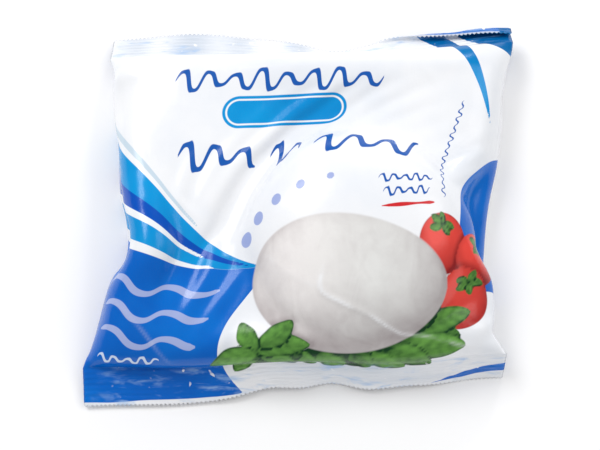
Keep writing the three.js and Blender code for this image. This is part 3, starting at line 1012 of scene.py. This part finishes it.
def crimp_tree():
    """Pressed ribs, slight crumples and cut teeth.

    Points move along the stored facing by a wave over the stored rib place and by a noise drawn out sideways,
    and along the stored tooth direction, which turns in and out from column to column of a cut edge.
    """
    n, given, out = new_tree(
        "Crimp Ribs", "GeometryNodeTree",
        [("Geometry", GEOMETRY, None), ("Rib Pitch", FLOAT, 0.00175), ("Rib Height", FLOAT, 0.0002),
         ("Unevenness", FLOAT, 0.5), ("Crumple Height", FLOAT, 0.0), ("Tooth Depth", FLOAT, 0.0),
         ("Seed", FLOAT, 3.0), ("Material", MATERIAL, None)],
        [("Geometry", GEOMETRY, None)],
    )

    def stored(name, kind="FLOAT"):
        return n.make("GeometryNodeInputNamedAttribute", {"data_type": kind}, Name=name)

    def scaled(vector, scale):
        return n.make("ShaderNodeVectorMath", {"operation": "SCALE"}, Vector=vector, Scale=scale)

    def moved(geometry, **how):
        return n.make("GeometryNodeSetPosition", Geometry=geometry, **how)

    shown = stored("rib_strength")
    position = n.make("GeometryNodeInputPosition")
    noise = n.noise(position, 90.0, 1.0, SEEDED, W=given["Seed"])
    uneven = 1.0 + given["Unevenness"] * (noise - 0.5)
    turn = stored("rib_place") / given["Rib Pitch"] * (2 * math.pi)
    ribs = n.math("SINE", turn) * (given["Rib Height"] * 0.5) * shown * uneven
    drawn_out = n.add("ShaderNodeVectorMath", {"operation": "MULTIPLY"}, Vector=position)
    drawn_out.inputs[1].default_value = (1.0, 3.2, 3.2)
    crumple = n.noise(drawn_out.outputs[0], 110.0, 2.5, SEEDED, W=given["Seed"], Roughness=0.6)
    height = ribs + (crumple - 0.5) * (given["Crumple Height"] * shown)
    mesh = moved(given["Geometry"], Offset=scaled(stored("facing", "FLOAT_VECTOR"), height))
    mesh = moved(mesh, Offset=scaled(stored("tooth", "FLOAT_VECTOR"), given["Tooth Depth"]))
    x, y, z = n.add("ShaderNodeSeparateXYZ", Vector=n.make("GeometryNodeInputPosition")).outputs
    above_table = n.make("ShaderNodeCombineXYZ", X=x, Y=y, Z=n.math("MAXIMUM", z, 0.0))
    mesh = n.make("GeometryNodeRealizeInstances", Geometry=moved(mesh, Position=above_table))
    n.feed(out["Geometry"], n.make("GeometryNodeSetMaterial", Geometry=mesh, Material=given["Material"]))


def surface_group():
    """The film's own surface: faint lengthwise drawing lines, a slight haze and tiny dimples."""
    n, given, out = new_tree(
        "Film Surface", "ShaderNodeTree",
        [("Haze", FLOAT, 0.3), ("Haze Change", FLOAT, 0.16)],
        [("Roughness", FLOAT, None), ("Height", FLOAT, None)],
    )
    place = n.place()
    broad = n.noise(place, 55.0, 3.0, Roughness=0.55)
    dimples = n.noise(place, 900.0)
    lines = n.noise(n.make("ShaderNodeMapping", Vector=place, Scale=(1.0, 0.12, 1.0)), 700.0)
    n.feed(out["Roughness"], given["Haze"] + given["Haze Change"] * (broad - 0.5))
    n.feed(out["Height"], broad * 1.6 + (dimples * 0.35 + lines * 0.45))


def ink_group():
    """One ink over what is below it, inside a depth of zero, with an edge of a given softness."""
    n, given, out = new_tree(
        "Ink", "ShaderNodeTree",
        [("Below", COLOUR, (1, 1, 1, 1)), ("Ink", COLOUR, (0, 0, 1, 1)), ("Depth", FLOAT, 0.0),
         ("Softness", FLOAT, 0.12)],
        [("Colour", COLOUR, None)],
    )
    inked = n.smooth(given["Depth"], given["Softness"] * -1.0, given["Softness"])
    n.feed(out["Colour"], n.mix(inked, given["Below"], given["Ink"]))


STROKE_SIZES = (
    ("Start", 20.0), ("End", 90.0), ("Middle", 100.0), ("Slope", 0.0), ("Wave Height", 3.0),
    ("Wave Length", 8.0), ("Lean", 0.2), ("Pen", 0.6),
)


def stroke_group():
    """Depth inside one leaning, wavy brush stroke on the film, in millimetres: heavier on its way down."""
    n, given, out = new_tree(
        "Wave Stroke", "ShaderNodeTree",
        [("Across", FLOAT, 0.0), ("Up", FLOAT, 0.0), *((name, FLOAT, size) for name, size in STROKE_SIZES)],
        [("Depth", FLOAT, None)],
    )
    run = given["Across"] - given["Start"]
    above = given["Up"] - (given["Middle"] + run * given["Slope"])
    often = 2 * math.pi / given["Wave Length"]
    turn = often * (run - given["Lean"] * above)
    tall = given["Wave Height"] * (0.72 + 0.28 * n.math("SINE", turn * 0.38))
    sine, cosine = n.math("SINE", turn), n.math("COSINE", turn)
    off = above - tall * (sine * (1.25 - 0.25 * (sine * sine)))
    steep = tall * often * (cosine * (1.25 - 0.75 * (sine * sine)))
    rise = 1.0 + steep * given["Lean"]
    away = abs(off) / n.math("SQRT", steep * steep + rise * rise)
    ends = n.math("MINIMUM", run, given["End"] - given["Across"])
    taper = n.math("MINIMUM", 1.0, 0.35 + ends * 0.4)
    broad = given["Pen"] * (1.0 - 0.3 * cosine) * taper
    n.feed(out["Depth"], n.math("MINIMUM", broad - away, ends))


# ---- Materials -----------------------------------------------------------------------------------------

# Strokes: colour name, start, end, middle, slope, wave height, wave length, lean, pen.
STROKES = (
    ("lettering", 26.0, 93.5, 112.2, -0.02, 3.6, 8.4, 0.10, 0.66),
    ("lettering", 27.5, 54.0, 86.0, -0.04, 4.4, 9.6, 0.10, 0.85),
    ("lettering", 59.0, 70.5, 84.5, -0.04, 4.0, 7.6, 0.10, 0.85),
    ("lettering", 75.5, 107.5, 83.2, -0.05, 4.6, 9.6, 0.10, 0.85),
    ("lettering", 94.5, 110.5, 68.0, 0.16, 1.1, 3.2, 0.08, 0.30),
    ("lettering", 95.5, 109.0, 64.2, 0.16, 1.1, 3.2, 0.08, 0.30),
    ("red_line", 95.0, 110.0, 60.4, 0.16, 0.0, 10.0, 0.0, 0.42),
    ("pale_line", 5.5, 26.0, 18.2, 0.08, 1.3, 4.6, 0.08, 0.42),
    ("lavender", 5.0, 45.0, 43.0, -0.07, 1.9, 19.0, 0.0, 0.95),
    ("lavender", 5.0, 42.0, 35.0, -0.07, 1.9, 19.0, 0.0, 0.95),
    ("lavender", 5.0, 38.0, 27.0, -0.07, 1.9, 19.0, 0.0, 0.95),
)
# The same, but running up the film, so that start and end are heights on it.
UPRIGHT_STROKES = (
    ("lettering", 65.0, 104.0, 113.8, 0.16, 0.7, 3.0, 0.0, 0.2),
)
LABEL_MIDDLE = (62.0, 100.6)
LABEL_STRAIGHT = 15.0   # half of its straight sides
LABEL_RADIUS = 5.6
LABEL_RIM = (1.3, 0.3)  # how far in the rim's middle lies, and half its breadth
# the marks on a seal are painted sheen, painted glints and the streaks the hot jaws leave
SEAL_EDGE = (13.0, 11.0)  # from a cut edge, between which the marks on a seal begin


def film_material(name, haze, relief, relief_height):
    """A material with the film's own surface, whose colour is still to come."""
    material = bpy.data.materials.new(name)
    material.use_nodes = True
    n = Nodes(material.node_tree)
    shader = material.node_tree.nodes["Principled BSDF"].inputs
    surface = n.group("Film Surface", Haze=haze)
    raised = n.make("ShaderNodeBump", Strength=relief, Distance=relief_height, Height=surface["Height"])
    n.feed(shader["Roughness"], surface["Roughness"])
    n.feed(shader["Normal"], raised)
    return material, n, shader


def ink_colours(looks):
    """The colours of the print by name, as sockets take them."""
    names = [name for name in PouchLooks.__annotations__ if name != "haze"]
    return {name: (*getattr(looks, name), 1.0) for name in names}


def seam_material(looks):
    """White film of the long seam, blue near the top seal as the back is."""
    material, n, shader = film_material("Seam Film", looks.haze + 0.06, 0.35, 0.00012)
    tone = ink_colours(looks)
    cloud = n.noise(n.place(), 160.0)
    white = n.mix(n.smooth(cloud, 0.35, 0.7), tone["white"], tone["shaded_white"])
    blue = n.ink(white, tone["back_blue"], n.attribute("print_back_seal"), 0.6)
    n.feed(shader["Base Color"], blue)
    return material


def printed_film_material(looks, film_width, film_length):
    """White laminated film with painted shade on the seals, its inks laid one over another, and painted
    sheen, glints and crease highlights on top.
    """
    material, n, shader = film_material("Printed Film", looks.haze, 0.5, 0.00015)
    tone = ink_colours(looks)
    place = n.place()
    cloud = n.noise(place, 38.0, 3.0, Roughness=0.6)
    grain = n.noise(place, 420.0, 3.0)
    blotch = n.noise(place, 95.0, 3.0, Distortion=0.6)
    unrolled = n.make("ShaderNodeUVMap", {"uv_map": FILM_MAP})
    u, v, _ = n.add("ShaderNodeSeparateXYZ", Vector=unrolled).outputs
    across = Value(n, u) * (2e3 * film_width)
    top = 1e3 * film_length
    up = Value(n, v) * top

    blue = n.mix(n.smooth(cloud, 0.4, 0.72), tone["blue"], tone["light_blue"])
    teal = n.mix(n.smooth(cloud, 0.35, 0.75), tone["teal"], tone["deep_teal"])
    teal = n.mix(n.smooth(up, 110.0, 131.0), teal, tone["dark_teal"])
    colour = n.mix(n.smooth(cloud, 0.3, 0.8), tone["white"], tone["shaded_white"])
    # painted shade and reflection on the seals, and the plate's printed shade, under the inks
    colour = n.mix(n.attribute("soft_grey"), colour, tone["soft_grey"])
    colour = n.ink(colour, tone["back_blue"], n.attribute("print_back_seal"), 0.6)
    fields = (("blue", blue), ("teal", teal), ("dark", tone["dark_blue"]), ("pale", tone["pale"]),
              ("lavender", tone["lavender"]))
    for name, fill in fields:
        colour = n.ink(colour, fill, n.attribute("print_" + name))

    mottle = (grain - 0.5) * 0.12 + (blotch - 0.5) * 0.34
    red = n.mix(n.attribute("tomato_light") + mottle, tone["tomato_shade"], tone["tomato"])
    leaf_light = n.attribute("leaf_light") + (grain - 0.5) * 0.6 + (blotch - 0.5) * 0.5
    green = n.mix(leaf_light, tone["leaf_shade"], tone["leaf"])
    drawn = n.make("ShaderNodeMapping", Vector=place, Rotation=(0.0, 0.0, 0.9), Scale=(1.0, 0.45, 1.0))
    curd = (n.noise(drawn, 120.0, 4.0, Distortion=1.6) - 0.5) * 0.42
    lit_cheese = n.mix(n.smooth(across, 68.0, 96.0), tone["cheese"], tone["cool_cheese"])
    cheese = n.mix(n.attribute("ball_light") + mottle + curd, tone["cheese_shade"], lit_cheese)
    pictures = (("red", red, 0.25), ("rear_green", green, 0.3), ("ball", cheese, 0.4),
                ("front_green", green, 0.3))
    for name, fill, softness in pictures:
        colour = n.ink(colour, fill, n.attribute("print_" + name), softness)

    past_straight = n.math("MAXIMUM", abs(across - LABEL_MIDDLE[0]) - LABEL_STRAIGHT, 0.0)
    off_middle = abs(up - LABEL_MIDDLE[1])
    label = LABEL_RADIUS - n.math("SQRT", past_straight * past_straight + off_middle * off_middle)
    colour = n.ink(colour, teal, label, 0.15)
    colour = n.ink(colour, tone["white"], LABEL_RIM[1] - abs(label - LABEL_RIM[0]), 0.15)
    keys = [name.replace(" ", "_") for name, _ in STROKE_SIZES]
    for strokes, run, rise in ((STROKES, across, up), (UPRIGHT_STROKES, up, across)):
        for name, *sizes in strokes:
            stroke = n.group("Wave Stroke", Across=run, Up=rise, **dict(zip(keys, sizes)))[0]
            colour = n.ink(colour, tone[name], stroke)

    on_top_seal = n.smooth(up, *(top - edge for edge in SEAL_EDGE))
    on_seal = n.math("MAXIMUM", n.smooth(up, *SEAL_EDGE), on_top_seal)
    drawn = n.make("ShaderNodeMapping", Vector=place, Scale=(0.28, 1.0, 1.0))
    streak = n.noise(drawn, 310.0, 3.0, Roughness=0.6, Distortion=0.4)
    jaw_and_sheen_streaks = n.smooth(streak, 0.48, 0.72) * n.smooth(blotch, 0.35, 0.58)
    # painted glints: small white specks on the seals, where crumples would catch the light
    painted_glints = n.smooth(n.noise(place, 480.0, 0.0), 0.76, 0.80) * n.smooth(blotch, 0.45, 0.6)
    # painted highlight along the sharpest creases, broken up by the blotch noise
    painted_crease_glint = n.attribute("crease_mark") * n.smooth(blotch, 0.36, 0.62, 0.12, 0.95)
    # painted sheen and shade of the crimped seal's ripples, lighter over blue and darker over white, with the
    # streaks the hot jaws leave
    colour = n.mix(on_seal * (jaw_and_sheen_streaks * 0.7), colour, tone["seal_mark"])
    # painted glints on the seals
    colour = n.mix(on_seal * painted_glints, colour, tone["white"])
    n.feed(shader["Base Color"], n.mix(painted_crease_glint, colour, tone["white"]))
    for name, value in (("Specular IOR Level", 0.3), ("Coat Weight", 0.1), ("Coat Roughness", 0.12)):
        shader[name].default_value = value
    return material


# ---- Sizes and colours a user may change ---------------------------------------------------------------

def number(name, description, default, **kind):
    return FloatProperty(name=name, description=description, default=default, **kind)


def length(name, description, default):
    return number(name, description, default, min=0, precision=5, unit="LENGTH")


def share(name, description, default):
    return number(name, description, default, min=0, max=1, subtype="FACTOR")


def numbers(name, description, default, **kind):
    return FloatVectorProperty(name=name, description=description, default=default, **kind)


def xyz(name, description, *default):
    return numbers(name, description, default, subtype="XYZ", unit="LENGTH")


def colour(name, description, *shown):
    """A colour given as it looks on a screen, from 0 to 255."""
    linear = [((v / 255 + 0.055) / 1.055) ** 2.4 if v > 10 else v / 3294.6 for v in shown]
    return numbers(name, description, linear, min=0, max=1, size=3, subtype="COLOR")


class PouchSizes(bpy.types.PropertyGroup):
    """The empty pouch, its seals and what fills it."""

    film_width: length("Film Width", "Empty pouch, side to side", 0.137)
    film_length: length("Film Length", "Empty pouch, cut edge to cut edge", 0.142)
    film_thickness: length("Film Thickness", "Front and back film together at a seal", 0.00035)
    seal_width: length("Seal Width", "Each end seal", 0.0122)
    fill_volume: number("Contents", "Cheese and brine", 0.00029, unit="VOLUME")
    ball_size: xyz("Ball Size", "The cheese ball, across, along and high", 0.074, 0.072, 0.0344)
    ball_place: xyz("Ball Place", "Middle of the ball", 0.020, -0.005, 0.0172)
    ball_unevenness: share("Ball Unevenness", "How far the ball is from a smooth oval", 0.02)
    rib_pitch: length("Rib Pitch", "From one crimp rib to the next", 0.00175)
    rib_height: length("Rib Height", "Of a crimp rib, from valley to top", 0.00013)
    crumple_height: length("Crumple Height", "Of the crumples in a seal", 0.0009)
    tooth_depth: length("Tooth Depth", "Of the zigzag of a cut edge", 0.0008)
    fin_width: length("Fin Width", "The long seam folded flat on the back", 0.013)
    fin_thickness: length("Fin Thickness", "Of the folded seam", 0.0003)


class PouchLooks(bpy.types.PropertyGroup):
    """The inks, the colours painted for shade and sheen on the seals, and the film's haze."""

    white: colour("Film White", "Unprinted film", 237, 238, 241)
    shaded_white: colour("Shaded White", "Unprinted film where it looks greyer", 226, 230, 237)
    # painted shade and reflection on the seals, and the plate's printed shade
    soft_grey: colour("Soft Grey", "Soft patches on the seals and the plate", 190, 200, 214)
    # painted sheen and shade of the crimped seals, with the streaks the hot jaws leave
    seal_mark: colour("Seal Mark", "Streaks that the hot jaws leave", 150, 186, 228)
    blue: colour("Blue", "The large fields", 0, 96, 192)
    light_blue: colour("Light Blue", "Lighter clouds in the fields", 0, 109, 204)
    back_blue: colour("Back Blue", "The back of the top seal", 46, 112, 196)
    teal: colour("Teal", "The sweeping bands", 0, 148, 214)
    deep_teal: colour("Deep Teal", "Deeper parts of the bands", 0, 134, 204)
    dark_teal: colour("Dark Teal", "The bands near the top seal", 0, 98, 164)
    dark_blue: colour("Dark Blue", "The dark band", 0, 78, 180)
    pale: colour("Pale Blue", "The thin pale band", 195, 212, 225)
    lavender: colour("Lavender", "The pale waves and dots", 158, 172, 218)
    lettering: colour("Line Blue", "The wavy lines", 25, 88, 172)
    red_line: colour("Red Line", "The thin red line", 206, 40, 44)
    pale_line: colour("Pale Line", "The small wave on the blue", 205, 218, 240)
    tomato: colour("Tomato", "Lit tomato", 232, 74, 64)
    tomato_shade: colour("Tomato Shade", "Tomato in shade", 138, 30, 32)
    leaf: colour("Leaf", "Lit leaf", 104, 160, 72)
    leaf_shade: colour("Leaf Shade", "Leaf in shade", 22, 62, 34)
    cheese: colour("Cheese", "Lit side of the pictured ball", 234, 230, 229)
    cool_cheese: colour("Cool Cheese", "The pictured ball, on its far side", 226, 226, 224)
    cheese_shade: colour("Cheese Shade", "Shaded side of the pictured ball", 164, 155, 156)
    haze: share("Haze", "Roughness of the film", 0.21)


class PouchStage(bpy.types.PropertyGroup):
    """The camera and the lights."""

    elevation: number("Elevation", "Camera above the table", math.radians(74), subtype="ANGLE")
    distance: length("Distance", "From the camera to the pouch", 0.46)
    target: xyz("Target", "What the camera looks at", -0.0021, -0.0075, 0.018)
    lens: number("Lens", "Focal length in millimetres", 86, unit="CAMERA")
    window: number("Window Light", "Power of the large light", 5.5, unit="POWER")
    fill: number("Fill Light", "Power of the light opposite", 1.6, unit="POWER")
    glint: number("Glint Light", "Power of the small light behind", 1.4, unit="POWER")
    room: number("Room Light", "Strength of the light all round", 0.72, min=0)
    room_dimming: share("Room Dimming", "By how much the room is darker in reflections", 0.88)
    floor: colour("Floor", "The table", 250, 250, 251)


# ---- The pieces ------------------------------------------------------------------------------------------

RIB_START = (0.2, 1.0)  # from a cut edge, between which the ribs of a seal rise to full height
RIB_END = 1.2           # of film at the seal's inner edge, over which they fade
FIN_RIB_START = (0.4, 1.4)  # the same on the fin, from its sides
FIN_LIFT = 0.03         # from the back film to the fin's inner side
FIN_OVER_TABLE = 0.02   # least height of its outer side
FIN_LEAST = 0.05        # thickness left where the table presses the fin
FLOOR_REACH = 4.0       # metres
# Each light of the stage: its name, its place and its size.
LIGHTS = (
    ("window", (-0.55, 0.55, 0.85), 0.5),
    ("fill", (0.75, 0.25, 0.75), 0.5),
    ("glint", (0.30, 0.95, 0.46), 0.12),
)


class POUCH_OT_film(bpy.types.Operator):
    """Make the filled film with its crimped seals and its print"""

    bl_idname = "pouch.film"
    bl_label = "Film"

    def execute(self, context):
        sizes, looks = context.scene.pouch_sizes, context.scene.pouch_looks
        film = film_skin(sizes)
        mesh = tube_mesh("film", film)
        shape = film.point.shape[:2]
        from_edge = np.minimum(film.along, film.length - film.along)
        strength = ramp(*RIB_START, from_edge) * ramp(film.seal_width, film.seal_width - RIB_END, from_edge)
        ribs = {"rib_place": from_edge * 1e-3, "rib_strength": strength}
        for name, values in {**print_fields(film), "crease_mark": painted_crease_highlights(film), **ribs}.items():
            store(mesh, name, np.broadcast_to(values, shape))
        tooth = np.zeros_like(film.point)
        in_or_out = (np.arange(shape[0]) % 2 - 0.5)[:, None]
        for row, inner in ((0, 1), (-1, -2)):
            outward = film.point[:, row] - film.point[:, inner]
            tooth[:, row] = in_or_out * outward / np.linalg.norm(outward, axis=1, keepdims=True)
        store(mesh, "tooth", tooth, "FLOAT_VECTOR")
        store(mesh, "facing", film.facing, "FLOAT_VECTOR")
        piece = add_object("printed_film", mesh)
        apply_tree(piece, bpy.data.node_groups["Crimp Ribs"], {
            "Rib Pitch": sizes.rib_pitch, "Rib Height": sizes.rib_height, "Unevenness": 2.6,
            "Crumple Height": sizes.crumple_height, "Tooth Depth": sizes.tooth_depth, "Seed": 3.0,
            "Material": printed_film_material(looks, sizes.film_width, sizes.film_length),
        })
        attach(piece, BODY)
        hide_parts(NODE)
        return {"FINISHED"}


class POUCH_OT_fin(bpy.types.Operator):
    """Make the long seam, folded flat down the middle of the back"""

    bl_idname = "pouch.fin"
    bl_label = "Long Seam"

    def execute(self, context):
        sizes = context.scene.pouch_sizes
        film = film_skin(sizes)
        width, thick = sizes.fin_width * 1e3, sizes.fin_thickness * 1e3
        from_middle = np.abs(film.around - FIN_MIDDLE)
        columns = np.nonzero(from_middle <= width / 2)[0]
        rows = np.arange(1, len(film.along) - 1)
        on_film, outward = (grid[np.ix_(columns, rows)] for grid in (film.point, film.normal))
        inner = on_film + FIN_LIFT * outward
        outer = on_film + (FIN_LIFT + thick) * outward
        outer[..., 2] = np.maximum(outer[..., 2], FIN_OVER_TABLE)
        inner[..., 2] = np.maximum(inner[..., 2], outer[..., 2] + FIN_LEAST)
        mesh = slab_mesh("long_seam", inner, outer)
        shape = inner.shape[:2]
        from_side = width / 2 - from_middle[columns]
        place = np.broadcast_to((film.around[columns] * 1e-3)[:, None], shape)
        strength = np.broadcast_to(ramp(*FIN_RIB_START, from_side)[:, None], shape)
        blue = np.broadcast_to(back_seal_depth(film)[rows], shape)
        store(mesh, "rib_place", [place, place])
        store(mesh, "rib_strength", [0 * strength, strength])
        store(mesh, "print_back_seal", [blue, blue])
        store(mesh, "facing", [outward, outward], "FLOAT_VECTOR")
        piece = add_object("long_seam", mesh)
        apply_tree(piece, bpy.data.node_groups["Crimp Ribs"], {
            "Rib Pitch": 0.0022, "Rib Height": 0.00008, "Unevenness": 0.4, "Seed": 8.0,
            "Material": seam_material(context.scene.pouch_looks),
        })
        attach(piece, BODY)
        return {"FINISHED"}


class POUCH_OT_stage(bpy.types.Operator):
    """Make the table, the lights and the camera"""

    bl_idname = "pouch.stage"
    bl_label = "Stage"

    def execute(self, context):
        stage = context.scene.pouch_stage
        context.scene.view_settings.view_transform = "Standard"
        mesh = bpy.data.meshes.new("floor")
        corners = [(FLOOR_REACH * x, FLOOR_REACH * y, 0) for x, y in ((-1, -1), (1, -1), (1, 1), (-1, 1))]
        mesh.from_pydata(corners, [], [(0, 1, 2, 3)])
        material = bpy.data.materials.new("Table")
        material.use_nodes = True
        shader = material.node_tree.nodes["Principled BSDF"].inputs
        shader["Base Color"].default_value = (*stage.floor, 1.0)
        shader["Roughness"].default_value = 0.7
        mesh.materials.append(material)
        add_object("floor", mesh)

        world = bpy.data.worlds.new("Room")
        context.scene.world = world
        world.use_nodes = True
        n = Nodes(world.node_tree)
        background = world.node_tree.nodes["Background"].inputs
        background["Color"].default_value = (1.0, 1.0, 1.0, 1.0)
        in_gloss = Value(n, n.add("ShaderNodeLightPath").outputs["Is Glossy Ray"])
        n.feed(background["Strength"], (1.0 - in_gloss * stage.room_dimming) * stage.room)
        for name, place, size in LIGHTS:
            light = bpy.data.lights.new(name, "AREA")
            light.energy = getattr(stage, name)
            light.size = size
            aim(add_object(name, light), Vector(place), Vector(place))

        lens = bpy.data.cameras.new("camera")
        lens.lens = stage.lens
        lens.sensor_width = 36
        lens.shift_x, lens.shift_y = 0.005, -0.005
        lens.clip_start = 0.01
        camera = add_object("camera", lens)
        context.scene.camera = camera
        back = Vector((0, -math.cos(stage.elevation), math.sin(stage.elevation)))
        aim(camera, Vector(stage.target) + back * stage.distance, back)
        return {"FINISHED"}


def aim(thing, place, back):
    """Puts a lamp or a camera at a place, turned away from a direction."""
    thing.location = place
    thing.rotation_mode = "QUATERNION"
    thing.rotation_quaternion = (-back).to_track_quat("-Z", "Y")


class POUCH_PT_panel(bpy.types.Panel):
    """The pouch's sizes, looks and operators"""

    bl_idname = "POUCH_PT_panel"
    bl_label = "Mozzarella Pouch"
    bl_space_type = "VIEW_3D"
    bl_region_type = "UI"
    bl_category = "Pouch"

    def draw(self, context):
        layout = self.layout
        for operator in OPERATORS:
            layout.operator(operator.bl_idname)
        for key, group in GROUPS.items():
            box = layout.box()
            for name in group.__annotations__:
                box.prop(getattr(context.scene, key), name)


GROUPS = {"pouch_sizes": PouchSizes, "pouch_looks": PouchLooks, "pouch_stage": PouchStage}
OPERATORS = (POUCH_OT_film, POUCH_OT_fin, POUCH_OT_stage)
CLASSES = (*GROUPS.values(), *OPERATORS, POUCH_PT_panel)


def register():
    for cls in CLASSES:
        bpy.utils.register_class(cls)
    for key, group in GROUPS.items():
        setattr(bpy.types.Scene, key, PointerProperty(type=group))


def unregister():
    for key in GROUPS:
        delattr(bpy.types.Scene, key)
    for cls in reversed(CLASSES):
        bpy.utils.unregister_class(cls)


def main():
    register()
    for make in (crimp_tree, surface_group, ink_group, stroke_group):
        make()
    bpy.ops.pouch.film()
    bpy.ops.pouch.fin()
    bpy.ops.pouch.stage()


if __name__ == "__main__":
    main()
